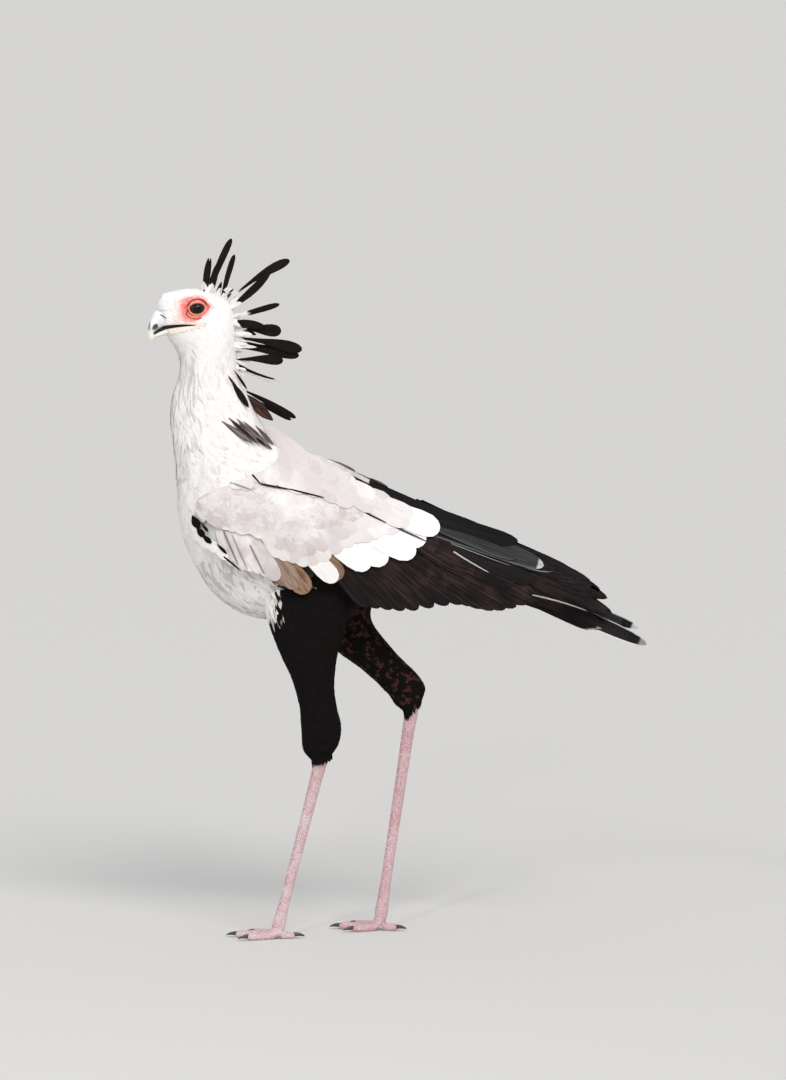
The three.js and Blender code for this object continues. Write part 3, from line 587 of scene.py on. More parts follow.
def flightMaterial():
    p = Paint("flightFeathers")
    look = {
        "black": (0.0055, 0.0048, 0.0055),
        "brown": (0.060, 0.030, 0.026),
        "slate": (0.050, 0.053, 0.055),
        "white": (0.86, 0.84, 0.82),
    }
    along = p.mark("along")
    across = p.mark("across")
    streak = p.streaks(4.0, 1.1)
    wave, shaft = p.barbs(80, 3.2)
    cloud = p.noise(p.at, 26, 2)
    patchy = p.ramp(p.sums("MULTIPLY_ADD", cloud, 0.5, streak), 0.66, 0.95)
    brown = p.mul(patchy, p.mark("warm"))
    color = p.mix(brown, look["black"], look["brown"])
    slate = p.mix(p.ramp(streak, 0.35, 0.65), look["slate"], (0.022, 0.023, 0.025))
    slate = p.mix(p.mul(p.ramp(across, 0.6, 0.95), 0.5), slate, (0.16, 0.165, 0.16))
    color = p.mix(p.mark("ash"), color, slate)
    band = p.mul(p.ramp(along, 0.885, 0.905), p.mark("banded"))
    color = p.mix(band, color, look["black"])
    tip = p.mul(p.ramp(along, 0.95, 0.968), p.mark("tipped"))
    color = p.mix(tip, color, look["white"])
    low = p.mul(p.ramp(across, 0.80, 0.90), p.mark("rimLow"))
    high = p.mul(p.ramp(across, -0.80, -0.90), p.mark("rimHigh"))
    far = p.mul(p.ramp(along, 0.25, 0.4), p.ramp(along, 0.99, 0.93))
    rim = p.sums("MAXIMUM", p.mul(p.sums("MAXIMUM", low, high), far), p.mark("pale"))
    color = p.mix(rim, color, look["white"])
    color = p.mix(p.mul(shaft, 0.6), color, (0.018, 0.012, 0.011))
    height = p.sums("ADD", p.mul(wave, 0.3), p.mul(shaft, 1.4))
    height = p.sums("ADD", height, p.mul(streak, 1.5))
    return p.done({
        "Base Color": color, "Roughness": 0.55, "Specular IOR Level": 0.12,
        "Normal": p.bump(height, 0.0005, 0.8),
    })


def crestMaterial():
    p = Paint("crestFeathers")
    look = {
        "black": (0.0050, 0.0040, 0.0042),
        "brown": (0.085, 0.042, 0.034),
        "smoke": (0.20, 0.165, 0.165),
        "white": (0.86, 0.84, 0.82),
        "blush": (0.74, 0.60, 0.54),
    }
    along = p.mark("along")
    streak = p.streaks(3.5, 2.4)
    wave, shaft = p.barbs(80, 3.0)
    ragged = p.sums("MULTIPLY_ADD", streak, 0.22, p.sums("SUBTRACT", along, 0.11))
    brown = p.mul(p.mark("warm"), p.ramp(streak, 0.40, 0.58))
    color = p.mix(brown, look["black"], look["brown"])
    base = p.mul(p.mark("smokeBase"), p.ramp(ragged, 0.42, 0.2))
    color = p.mix(base, color, p.mix(p.ramp(streak, 0.4, 0.6), look["brown"], look["smoke"]))
    pale = p.ramp(p.sums("SUBTRACT", ragged, p.mark("whiteTo")), 0.02, -0.02)
    color = p.mix(pale, color, look["white"])
    cream = p.mix(p.ramp(streak, 0.4, 0.7), look["blush"], look["white"])
    color = p.mix(p.mark("blush"), color, cream)
    smoky = p.mix(p.ramp(streak, 0.40, 0.60), (0.045, 0.030, 0.028), (0.27, 0.225, 0.22))
    color = p.mix(p.mark("smoky"), color, smoky)
    height = p.sums("ADD", p.mul(wave, 0.3), shaft)
    return p.done({
        "Base Color": color, "Roughness": 0.6, "Specular IOR Level": 0.08,
        "Normal": p.bump(height, 0.0004, 0.7),
    })


def skinMaterial():
    p = Paint("skin")
    look = {
        "down": (0.82, 0.80, 0.785),
        "black": (0.006, 0.005, 0.005),
        "red": (0.80, 0.145, 0.13),
        "rose": (0.86, 0.33, 0.30),
        "orange": (0.78, 0.16, 0.06),
        "blush": (0.86, 0.62, 0.55),
        "cere": (0.86, 0.86, 0.87),
        "cream": (0.86, 0.79, 0.68),
        # painted shade: the dark red laid along the face's creases
        "groove": (0.15, 0.022, 0.022),
        # painted shade: the near black of the open mouth
        "mouth": (0.006, 0.004, 0.004),
    }
    mottle = p.noise(p.at, 170, 3)
    blotch = p.noise(p.at, 60, 2)
    color = p.mix(p.mark("dark"), look["down"], look["black"])
    face = p.mix(p.ramp(blotch, 0.4, 0.7), look["blush"], look["cere"])
    face = p.mix(p.mark("cere"), face, look["cere"])
    face = p.mix(p.mark("cream"), face, look["cream"])
    red = p.mix(p.ramp(mottle, 0.38, 0.68), look["red"], look["rose"])
    red = p.mix(p.mark("orange"), red, look["orange"])
    wander = p.sums("MULTIPLY_ADD", blotch, 0.5, p.sums("SUBTRACT", p.mark("red"), 0.25))
    wander = p.ramp(wander, 0.12, 0.72)
    face = p.mix(wander, face, red)
    # painted shade along the creases round the eye
    face = p.mix(p.mark("groove"), face, look["groove"])
    # painted shade: the open mouth's slit is painted near black
    face = p.mix(p.mark("gape"), face, look["mouth"])
    color = p.mix(p.mark("bare"), color, face)
    scale = {"Vector": p.at, "Scale": 900.0}
    cells = p.node("TexVoronoi", scale, feature="DISTANCE_TO_EDGE").outputs["Distance"]
    height = p.sums("ADD", p.mul(cells, 1.2), p.mul(p.noise(p.at, 420, 3), 0.8))
    return p.done({
        "Base Color": color, "Roughness": 0.5, "Specular IOR Level": 0.35,
        "Normal": p.bump(height, 0.0004, 0.6),
    })


def hornMaterial():
    p = Paint("horn")
    look = {
        "white": (0.84, 0.85, 0.86),
        "blue": (0.74, 0.77, 0.82),
        "hook": (0.045, 0.04, 0.05),
        "yellow": (0.84, 0.80, 0.66),
    }
    home = p.home()
    x, _, z = p.node("SeparateXYZ", {0: home}).outputs
    color = p.mix(p.ramp(p.noise(p.at, 90, 3), 0.45, 0.7), look["white"], look["blue"])
    spot = p.vector("SUBTRACT", home, (-0.2700, 0, 0.9522))[0]  # the middle of the dark spot
    turned = {"Vector": spot, "Angle": math.radians(-32)}
    spot = p.node("VectorRotate", turned, rotation_type="Y_AXIS").outputs[0]
    near = p.vector("LENGTH", p.vector("MULTIPLY", spot, (1, 0, 0.62))[0])["Value"]
    ragged = p.sums("MULTIPLY_ADD", p.noise(p.at, 230, 3), 0.006, near)
    color = p.mix(p.ramp(ragged, 0.0078, 0.0056), color, look["hook"])
    ridge = p.mul(p.ramp(x, -0.2762, -0.2785), p.ramp(z, 0.944, 0.950))
    ridge = p.mul(ridge, p.ramp(z, 0.966, 0.960))
    color = p.mix(p.mul(ridge, 0.8), color, look["hook"])
    color = p.mix(p.mul(p.ramp(z, 0.953, 0.936), 0.9), color, look["yellow"])
    lines = p.noise(p.mapped(scale=(60, 60, 320)), 1.0, 3)
    return p.done({
        "Base Color": color, "Roughness": 0.34, "Coat Weight": 0.12, "Coat Roughness": 0.25,
        "Normal": p.bump(lines, 0.0003, 0.35),
    })


def lipMaterial():
    p = Paint("lips")
    home = p.home()
    back = p.ramp(p.node("SeparateXYZ", {0: home}).outputs[0], -0.215, -0.196)
    color = p.mix(p.noise(p.at, 200, 2), (0.86, 0.78, 0.62), (0.84, 0.72, 0.60))
    color = p.mix(back, color, (0.80, 0.42, 0.34))
    return p.done({
        "Base Color": color, "Roughness": 0.4, "Normal": p.bump(p.noise(p.at, 700, 2), 0.0002, 0.4),
    })


def lidMaterial():
    p = Paint("lids")
    part = p.node("SeparateXYZ", {0: p.at})
    below = p.ramp(part.outputs[2], (eyeSpot["z"] + 2) / 1000, (eyeSpot["z"] - 5) / 1000)
    upper = p.mix(p.noise(p.at, 260, 2), (0.74, 0.20, 0.15), (0.84, 0.40, 0.30))
    lower = p.mix(p.noise(p.at, 260, 2), (0.60, 0.26, 0.19), (0.76, 0.48, 0.38))
    return p.done({
        "Base Color": p.mix(below, upper, lower), "Roughness": 0.38,
        "Normal": p.bump(p.noise(p.at, 900, 2), 0.0002, 0.5),
    })


def mouthShadeMaterial():
    p = Paint("mouthShade")
    # painted shade: near black for the inside of the mouth and the nostrils
    color = p.mix(p.noise(p.at, 300, 2), (0.006, 0.004, 0.004), (0.018, 0.008, 0.008))
    return p.done({"Base Color": color, "Roughness": 0.6})


def eyeMaterial():
    p = Paint("eye")
    ex, ez = (eyeSpot["x"] + shift) / 1000, eyeSpot["z"] / 1000
    home = p.mapped(location=(-ex, 0, -ez))
    part = p.node("SeparateXYZ", {0: home})
    flat = p.node("CombineXYZ", {0: part.outputs[0], 2: part.outputs[2]}).outputs[0]
    radius = p.vector("LENGTH", flat)["Value"]
    angle = p.sums("ARCTAN2", part.outputs[2], part.outputs[0])
    turned = {0: p.mul(angle, 6.0), 1: p.mul(radius, 300.0)}
    spokes = p.noise(p.node("CombineXYZ", turned).outputs[0], 2.2, 3)
    iris = p.mix(p.ramp(spokes, 0.35, 0.7), (0.012, 0.005, 0.003), (0.070, 0.026, 0.012))
    color = p.mix(p.ramp(radius, 0.0070, 0.0064), iris, (0.0015, 0.0015, 0.0015))
    color = p.mix(p.ramp(radius, 0.0104, 0.0112), color, (0.008, 0.004, 0.003))
    return p.done({
        "Base Color": color, "Roughness": 0.12, "Specular IOR Level": 0.1, "Coat Weight": 0.3,
        "Coat Roughness": 0.015,
    })


def legMaterial():
    p = Paint("legSkin")
    look = {
        "pink": (0.70, 0.45, 0.47),
        "pale": (0.82, 0.68, 0.70),
        "deep": (0.58, 0.28, 0.32),
        "gap": (0.30, 0.13, 0.16),
    }
    part = p.node("SeparateXYZ", {0: p.at})
    scale = {"Vector": p.mapped(scale=(1, 1, 0.7)), "Scale": 380.0}
    cells = p.node("TexVoronoi", scale, feature="DISTANCE_TO_EDGE").outputs["Distance"]
    tint = p.node("SeparateColor", {0: p.node("TexVoronoi", scale).outputs["Color"]}).outputs[0]
    color = p.mix(p.ramp(p.noise(p.at, 35, 3), 0.35, 0.7), look["pink"], look["pale"])
    # painted shade: the far leg is painted a deeper pink
    far = p.ramp(part.outputs[1], 0.0, 0.02)
    color = p.mix(p.mul(far, 0.5), color, look["deep"])
    color = p.mix(p.mul(tint, 0.5), color, look["pale"])
    color = p.mix(p.mul(p.ramp(cells, 0.09, 0.0), 0.75), color, look["gap"])
    return p.done({
        "Base Color": color, "Roughness": 0.5, "Specular IOR Level": 0.35,
        "Normal": p.bump(p.ramp(cells, 0.0, 0.2), 0.0007, 0.9),
    })


def clawMaterial():
    p = Paint("claws")
    color = p.mix(p.noise(p.at, 180, 3), (0.025, 0.02, 0.018), (0.075, 0.06, 0.052))
    lines = p.noise(p.mapped(scale=(1, 1, 4)), 260, 2)
    return p.done({"Base Color": color, "Roughness": 0.3, "Normal": p.bump(lines, 0.0002, 0.4)})


def floorMaterial():
    return Paint("studioFloor").done({"Base Color": (0.66, 0.65, 0.635, 1), "Roughness": 0.9})


plumage = plumageMaterial()
flight = flightMaterial()
crestPaint = crestMaterial()
skinPaint = skinMaterial()
horn = hornMaterial()
lipPaint = lipMaterial()
lidPaint = lidMaterial()
mouthShadePaint = mouthShadeMaterial()
eyePaint = eyeMaterial()
legPaint = legMaterial()
clawPaint = clawMaterial()
print("materials ready")


def buildStudio():
    studio = {"scale": 1.55, "elevation": 7, "distance": 14.0, "zeroX": 330, "floorY": 937}
    rise = math.radians(studio["elevation"])
    aimX = (393 - studio["zeroX"]) * studio["scale"] + shift
    aimZ = (studio["floorY"] - 540) * studio["scale"] / math.cos(rise)
    aim = Vector((aimX, 0, aimZ)) / 1000
    data = bpy.data.cameras.new("camera")
    data.sensor_width = 36
    data.lens = 36 * studio["distance"] / (1080 * studio["scale"] / 1000)
    data.clip_end = 400
    camera = bpy.data.objects.new("camera", data)
    camera.location = aim + Vector((0, -math.cos(rise), math.sin(rise))) * studio["distance"]
    camera.rotation_euler = (math.pi / 2 - rise, 0, 0)
    bpy.context.scene.collection.objects.link(camera)
    bpy.context.scene.camera = camera
    bpy.ops.mesh.primitive_plane_add(size=160, location=(0, 0, 0))
    floor = bpy.context.object
    floor.name = "floor"
    floor.data.materials.append(floorMaterial())
    lamps = {  # kind, place, size, power and colour
        "key": ("SUN", (0.9, -2.4, 3.0), 0.55, 1.9, (1, 0.975, 0.94)),
        "fill": ("SUN", (-3.0, -2.2, 1.2), 1.2, 0.55, (0.96, 0.97, 1)),
        "glint": ("AREA", (-0.9, -2.6, 2.3), 0.22, 12, (1, 1, 1)),
    }
    for name, (kind, at, size, power, color) in lamps.items():
        bpy.ops.object.light_add(type=kind, location=at)
        light = bpy.context.object
        light.name = name
        setattr(light.data, "angle" if kind == "SUN" else "size", size)
        light.data.energy = power
        light.data.color = color
        light.rotation_euler = (Vector((0, 0, 0.7)) - light.location).to_track_quat("-Z", "Y").to_euler()
    world = bpy.context.scene.world or bpy.data.worlds.new("world")
    bpy.context.scene.world = world
    world.use_nodes = True
    world.node_tree.nodes["Background"].inputs[0].default_value = (0.95, 0.97, 1, 1)
    world.node_tree.nodes["Background"].inputs[1].default_value = 0.6
    bpy.context.scene.view_settings.view_transform = "Standard"
    print("studio ready")


buildStudio()


def choose(obj):
    bpy.ops.object.select_all(action="DESELECT")
    bpy.context.view_layer.objects.active = obj
    obj.select_set(True)


def edit(obj, select="SELECT"):
    choose(obj)
    bpy.ops.object.mode_set(mode="EDIT")
    bpy.ops.mesh.select_all(action=select)


def leaveEdit():
    bpy.ops.object.mode_set(mode="OBJECT")


def applyModifier(obj, kind, **settings):
    choose(obj)
    modifier = obj.modifiers.new(kind.lower(), kind)
    for key, value in settings.items():
        setattr(modifier, key, value)
    bpy.ops.object.modifier_apply(modifier=modifier.name)


def extrudeAlong(name, stations, sides):  # rings of x, y, z, tilt about Y, half depth and half width
    x, y, z, tilt, deep, wide = stations[0]
    at = Vector((x + shift, y, z)) / 1000
    turned = (0, math.radians(tilt), 0)
    bpy.ops.mesh.primitive_circle_add(vertices=sides, radius=1, fill_type="NGON", location=at, rotation=turned)
    obj = bpy.context.object
    obj.name = obj.data.name = name
    obj.scale = (deep / 1000, wide / 1000, 1)
    bpy.ops.object.transform_apply(location=True, rotation=True, scale=True)
    edit(obj)
    for last, new in zip(stations, stations[1:]):
        move = Vector([b - a for a, b in zip(last[:3], new[:3])]) / 1000
        bpy.ops.mesh.extrude_region_move(TRANSFORM_OT_translate={"value": move})
        at = at + move
        turn = math.radians(new[3] - last[3])
        if abs(turn) > 1e-5:
            bpy.ops.transform.rotate(value=-turn, orient_axis="Y", orient_type="GLOBAL", center_override=at)
        k, w = new[4] / last[4], new[5] / last[5]
        bpy.ops.transform.resize(value=(k, w, k), orient_type="GLOBAL", center_override=at)
    bpy.ops.mesh.select_all(action="SELECT")
    bpy.ops.mesh.normals_make_consistent(inside=False)
    leaveEdit()
    return obj


def joinAll(name, objects):
    bpy.ops.object.select_all(action="DESELECT")
    for obj in objects:
        obj.select_set(True)
    bpy.context.view_layer.objects.active = objects[0]
    bpy.ops.object.join()
    objects[0].name = objects[0].data.name = name
    return objects[0]


def tube(name, points, radii, closed=False):
    curve = bpy.data.curves.new(name, "CURVE")
    curve.dimensions = "3D"
    curve.bevel_depth = 0.001
    curve.bevel_resolution = 3
    curve.use_fill_caps = True
    spline = curve.splines.new("NURBS" if not closed else "POLY")
    spline.points.add(len(points) - 1)
    for spot, at, radius in zip(spline.points, place(points), radii):
        spot.co = (*at, 1)
        spot.radius = radius
    spline.use_cyclic_u = closed
    spline.use_endpoint_u = not closed
    spline.order_u = 3
    obj = bpy.data.objects.new(name, curve)
    bpy.context.scene.collection.objects.link(obj)
    choose(obj)
    bpy.ops.object.convert(target="MESH")
    bpy.ops.object.shade_smooth()
    return bpy.context.object


face = {
    "patch": [  # the red skin round the eye, side view
        (-245.7, 983.6), (-240, 991), (-231.6, 999), (-218.5, 1003), (-202, 1004), (-191, 999), (-184, 991),
        (-180, 986), (-186, 978), (-191, 971.5), (-198, 966), (-206, 960), (-220, 958), (-238, 962),
        (-249, 972),
    ],
    "upper": ([-285, -269, -248, -240, -200, -190], [984, 978.6, 977, 975, 970, 958]),
    "lower": ([-270, -254, -243, -226, -210, -196, -190], [930, 938, 941.5, 946.5, 950.5, 955, 958]),
    "mouth": (
        [-276, -274, -269.6, -262, -251.2, -238, -225, -210, -196],
        [934, 938.7, 944.1, 948.5, 952.5, 954.9, 956.2, 957.0, 956.8],
    ),
    "gape": (  # half the open mouth's height
        [-262, -251, -243, -226, -215, -207, -203],
        [2.2, 2.7, 2.9, 2.1, 1.3, 0.5, 0.0],
    ),
    "grooves": [
        [(-218.6, 986.5), (-216.2, 992), (-211.5, 995.4), (-205, 996.6), (-198, 995.7), (-192.5, 992.5),
         (-189.7, 988)],
        [(-218.8, 980), (-221.2, 973.4), (-217.4, 969.6), (-211.8, 967.4), (-205, 966.4), (-198, 968)],
    ],
}
lids = {"long": 12.2, "high": 8.8, "tilt": 0.10}


def lidReach(dx, dz):  # 1 on the edge of the open eye
    turned = dx * math.cos(lids["tilt"]) + dz * math.sin(lids["tilt"])
    up = dz * math.cos(lids["tilt"]) - dx * math.sin(lids["tilt"])
    return np.sqrt((turned / lids["long"]) ** 2 + (up / lids["high"]) ** 2)


def bareSkin(x, z):  # distance inside the face's bare skin, negative on the feathered head
    band = np.minimum(np.interp(x, *face["upper"]) - z, z - np.interp(x, *face["lower"]))
    band = np.where(x < -191, band, -30)
    return np.maximum(insideLine(x, z, face["patch"]), band)


def mouthGap(x, z):  # height over the mouth's line, in millimetres
    return z - np.interp(x, *face["mouth"])


def closeEnds(obj):  # caps the open ends and turns every face outwards
    edit(obj, "DESELECT")
    bpy.ops.mesh.select_mode(type="EDGE")
    bpy.ops.mesh.select_non_manifold()
    bpy.ops.mesh.edge_face_add()
    bpy.ops.mesh.select_all(action="SELECT")
    bpy.ops.mesh.normals_make_consistent(inside=False)
    leaveEdit()


def gridObject(name, p):  # a closed tube from rings of points
    rows, around = p.shape[:2]
    i = np.arange(rows - 1)[:, None] * around
    j = np.arange(around)[None]
    k = (j + 1) % around
    faces = np.stack([i + j, i + j + around, i + k + around, i + k], -1).reshape(-1, 4)
    obj = meshObject(name, place(p.reshape(-1, 3)), faces)
    closeEnds(obj)
    return obj


def buildSkin():
    spec = {  # rows of the head and body, points around, and how deep the skin lies under the feathers
        "head": 210, "body": 80, "around": 320,
        "under": ([0, 1, 1.7, 2.2, 6, 9, 14, 26], [5.0, 4.6, 2.6, 1.7, 2.0, 2.4, 3.6, 4.5]),
    }
    t = np.r_[np.linspace(0, 8, spec["head"])[:-1], np.linspace(8, 26, spec["body"])]
    T, A = np.meshgrid(t, np.arange(spec["around"]) * 2 * math.pi / spec["around"], indexing="ij")
    p = bodyPoints(T, A)
    inner = p + (bodyPoints(T, A, 6.0) - p) * (np.interp(T, *spec["under"]) / 6)[..., None]
    x, z, side = p[..., 0], p[..., 2], np.sign(np.sin(A))
    bare = bareSkin(x, z)
    open_ = step(bare, -3.0, 1.5) * (np.abs(np.sin(A)) > 0.2) * (T < 8) * step(T, 1.3, 2.3)
    inner = inner + (p - inner) * open_[..., None] * 0.85  # the bare face lies at the full size
    dx, dz = x - eyeSpot["x"], z - eyeSpot["z"]
    reach = lidReach(dx, dz)
    ball = eyeSpot["y"] + np.sqrt(np.maximum((eyeRadius + 0.7) ** 2 - dx**2 - dz**2, 4.0))
    y = np.abs(inner[..., 1])
    blend = step(reach, 0.95, 1.8)
    new = ball * (1 - blend) + y * blend
    new = new + 0.7 * np.exp(-(((reach - 1.12) / 0.09) ** 2))
    for groove in face["grooves"]:
        new = new - 1.0 * np.exp(-((nearLine(x, z, groove) / 1.0) ** 2))
        new = new + 0.55 * np.exp(-(((nearLine(x, z, groove) - 2.6) / 1.0) ** 2)) * step(reach, 1.2, 1.5)
    new = np.where(reach < 1.0, new - 5.5 * step(reach, 1.0, 0.86), new)
    folds = 0.32 * np.sin(dx * 0.8 + 2.6 * np.sin(dz * 0.2)) + 0.25 * np.sin(1.1 * dz + 0.5 * dx)
    new = new + folds * step(bare, 0, 5) * step(reach, 1.45, 2.0)
    y = y + (new - y) * open_
    gape = np.interp(x, *face["gape"])
    mouth = step(np.abs(mouthGap(x, z)), gape + 1.0, gape - 0.4) * step(x, -203, -210)
    y = y - 4.2 * mouth * (T < 6)
    inner[..., 1] = side * y
    return gridObject("skin", inner)


def addThighs(skinObject):
    for side in ("left", "right"):
        t = np.linspace(0.0, 1, 60)[:, None]
        a = (np.arange(48) * 2 * math.pi / 48)[None]
        places = side, t * np.ones_like(a), a * np.ones_like(t)
        slim = step(t, 0.14, 0.0)[..., None]
        obj = gridObject("thigh", thighPoints(*places, 4.0) * (1 - slim) + thighPoints(*places, 22.0) * slim)
        applyModifier(skinObject, "BOOLEAN", operation="UNION", object=obj, solver="MANIFOLD")
        bpy.data.objects.remove(obj)


def colourSkin(obj):
    co = np.empty(len(obj.data.vertices) * 3, np.float32)
    obj.data.vertices.foreach_get("co", co)
    co = co.reshape(-1, 3).astype(float) * 1000
    x, y, z = co[:, 0] - shift, co[:, 1], co[:, 2]
    bare = bareSkin(x, z) * (x < -170) - 9 * (x >= -170)
    red = step(insideLine(x, z, face["patch"]), -0.5, 5.0)
    strong = np.exp(-(((x + 201) / 24) ** 2 + ((z - 984) / 15) ** 2))
    front = step(x, -246, -222)
    # where the creases' painted shade goes
    groove = np.zeros(len(x))
    for line in face["grooves"]:
        groove = np.maximum(groove, step(nearLine(x, z, line), 1.5, 0.4))
    half = np.interp(x, *face["gape"])
    gap = mouthGap(x, z)
    attribute(obj, "dark", darkness(np.c_[x + 16, y, z]))
    attribute(obj, "bare", step(bare, -2.0, 0.6) * (z > 925))
    attribute(obj, "red", np.clip(red * front * (0.42 + 0.75 * strong), 0, 1))
    attribute(obj, "orange", np.exp(-(((x + 213) / 9) ** 2 + ((z - 973) / 7) ** 2)) * 0.8)
    attribute(obj, "cere", step(x, -236, -248))
    attribute(obj, "cream", step(z, 962, 952) * step(x, -262, -250))
    attribute(obj, "groove", groove)
    # painted shade in the open mouth's slit
    attribute(obj, "gape", step(np.abs(gap), half + 0.7, half - 0.1) * step(x, -205, -211) * (half > 0.05))


def darkness(p):  # 1 where the plumage is black
    x, y, z = p[..., 0], p[..., 1], p[..., 2]
    wobble = 4 * np.sin(x * 0.11 + y * 0.2) + 3 * np.sin(z * 0.17 - y * 0.13)
    belly = step(x + 0.6 * wobble, -86, -74) * step(z + wobble, 594, 580)
    thigh = step(z + wobble, 506, 494) * (x > -112)
    rump = step(x + wobble, 96, 120) * step(z + wobble, 668, 655)
    tail = step(x + wobble, 150, 175)
    return np.clip(belly + thigh + rump + tail, 0, 1)


skin = buildSkin()
addThighs(skin)
colourSkin(skin)
choose(skin)
bpy.ops.object.shade_smooth()
finish(skin, skinPaint, "bare_skin", "head", "neck_upper", "neck_lower", "torso", "thigh_left", "thigh_right")
print("skin ready", len(skin.data.vertices))


def buildEye(sign, side):
    at = Vector((eyeSpot["x"] + shift, sign * eyeSpot["y"], eyeSpot["z"])) / 1000
    size = {"segments": 48, "ring_count": 32, "radius": (eyeRadius - 0.15) / 1000}
    bpy.ops.mesh.primitive_uv_sphere_add(**size, location=at, rotation=(math.pi / 2, 0, 0))
    eye = bpy.context.object
    eye.name = eye.data.name = f"eye{side.title()}"
    bpy.ops.object.transform_apply(location=True, rotation=True, scale=True)
    for vertex in eye.data.vertices:  # the cornea in front bulges a little over the ball
        gap = math.hypot(vertex.co.x - at.x, vertex.co.z - at.z) * 1000
        if (vertex.co.y - at.y) * sign > 0:
            vertex.co.y += sign * 0.0009 * float(step(gap, 9.5, 4))
    bpy.ops.object.shade_smooth()
    finish(eye, eyePaint, "eye", f"eye_{side}")


def buildLids(sign, side):
    turn = np.linspace(0, 2 * math.pi, 61)[:-1]
    above = step(np.sin(turn), -0.25, 0.35)
    rings = []
    shapes = ((1.0 + 0.09 * above, 0.9, 0.75 + 0.45 * above), (1.02, 0.5, 0.55 * np.ones(60)))
    for grow, proud, thick in shapes:
        dx0 = lids["long"] * grow * np.cos(turn)
        dz0 = lids["high"] * (grow + 0.05 * above) * np.sin(turn)
        dx = dx0 * math.cos(lids["tilt"]) - dz0 * math.sin(lids["tilt"])
        dz = dz0 * math.cos(lids["tilt"]) + dx0 * math.sin(lids["tilt"])
        y = eyeSpot["y"] + np.sqrt(np.maximum((eyeRadius + proud) ** 2 - dx**2 - dz**2, 9.0))
        points = np.c_[eyeSpot["x"] + dx, sign * y, eyeSpot["z"] + dz]
        rings.append(tube("lid", points, thick, closed=True))
    lid = joinAll(f"lids{side.title()}", rings)
    finish(lid, lidPaint, "bare_skin")


for sign, side in ((-1, "left"), (1, "right")):
    buildEye(sign, side)
    buildLids(sign, side)
print("eyes ready")


def slopedStations(rows):  # from top and bottom points of the side outline to stations
    out = []
    for topX, topZ, lowX, lowZ, half in rows:
        tilt = math.degrees(math.atan2(-(topZ - lowZ), topX - lowX))
        deep = math.hypot(topX - lowX, topZ - lowZ) / 2
        out.append(((topX + lowX) / 2, 0, (topZ + lowZ) / 2, tilt, deep, half))
    return out


def outside(x, z, sign, objects):  # how far out the outermost surface lies at a point of the side view
    start, way = Vector(((x + shift) / 1000, sign * 0.2, z / 1000)), Vector((0, -sign, 0))
    hits = [obj.ray_cast(start, way) for obj in objects]
    return max(abs(hit[1].y) * 1000 for hit in hits if hit[0])


def buildBill():
    billRows = {
        "upper": [
            (-246, 985, -228, 956.2, 15.0),
            (-258, 984, -240, 956.0, 14.0),
            (-266.5, 981, -250, 954.4, 12.6),
            (-272.5, 974, -259, 951.3, 10.6),
            (-276.8, 965, -266, 948.4, 8.8),
            (-279.8, 956, -271, 944.8, 7.2),
            (-281.6, 947, -272.4, 942.2, 5.6),
            (-281.7, 940, -270.8, 938.8, 4.5),
            (-280.2, 934.5, -271.6, 934.2, 3.3),
            (-277.8, 930.8, -273.2, 931.2, 1.9),
            (-275.8, 929.2, -274.6, 929.6, 0.7),
        ],
        "lower": [
            (-232, 953, -229, 945, 15.5),
            (-245, 951.6, -242, 942.6, 14.2),
            (-254, 949, -251.5, 940, 11.6),
            (-262, 945.8, -259.5, 937.6, 8.8),
            (-268, 942.2, -266, 935.6, 5.8),
            (-273, 938.4, -272, 934, 3.0),
        ],
        "inside": [
            (-222, 958, -222, 949, 9), (-240, 957, -238, 948, 9), (-254, 953.5, -252, 945, 7.5),
            (-263, 950, -262, 941, 5), (-269.5, 946, -269, 938.5, 2.6), (-273, 942, -272.5, 936.5, 1.2),
        ],
        "nostril": [(-262, 972.1), (-259, 970.6), (-255.5, 968.6), (-252.2, 966.6)],
    }
    upper = extrudeAlong("billUpper", slopedStations(billRows["upper"]), 20)
    lower = extrudeAlong("billLower", slopedStations(billRows["lower"]), 20)
    inside = extrudeAlong("mouthInside", slopedStations(billRows["inside"]), 14)
    for bill in (upper, lower, inside):
        applyModifier(bill, "SUBSURF", levels=2, render_levels=2)
        bpy.ops.object.shade_smooth()
    depths = []
    # dark tubes in the nostril slits stand for their shade
    for sign in (-1, 1):
        route = [(x, sign * (outside(x, z, sign, (upper, skin)) - 0.35), z) for x, z in billRows["nostril"]]
        depths.append(tube("nostril", route, [0.6, 0.95, 0.95, 0.7]))
    finish(joinAll("nostrils", depths), mouthShadePaint, "horn")
    finish(upper, horn, "horn", "bill_upper")
    finish(lower, horn, "horn", "bill_lower")
    # the mouth's inside is painted near black as shade
    finish(inside, mouthShadePaint, "horn")


def buildLips():
    lips = {"x": [-249, -238, -226, -213, -203, -196], "over": (1.0, 1.0), "under": (1.1, 1.2)}
    parts = []
    for sign in (-1, 1):
        for key, way in (("over", 1), ("under", -1)):
            gap, thick = lips[key]
            route = []
            for x in lips["x"]:
                z = float(np.interp(x, *face["mouth"]))
                z += way * (float(np.interp(x, *face["gape"])) + gap * 0.8)
                route.append((x, sign * (outside(x, z, sign, (skin,)) - 0.45), z))
            parts.append(tube("lip", route, thick * np.array([0.6, 1, 1, 0.85, 0.6, 0.3])))
    finish(joinAll("lips", parts), lipPaint, "horn")


buildBill()
buildLips()
print("bill ready")

toes = [("middle", 0, 64, 1.0), ("inner", 31, 47, 0.95), ("outer", -31, 50, 0.95), ("hind", 172, 25, 0.9)]
toeRadius = 7.2


def toeHeight(ankle, r, share):  # the toe's middle comes down from the ankle
    low = r * 0.78
    return low + (ankle[2] - 4 - low) * float(step(share, 0.3, -0.1))


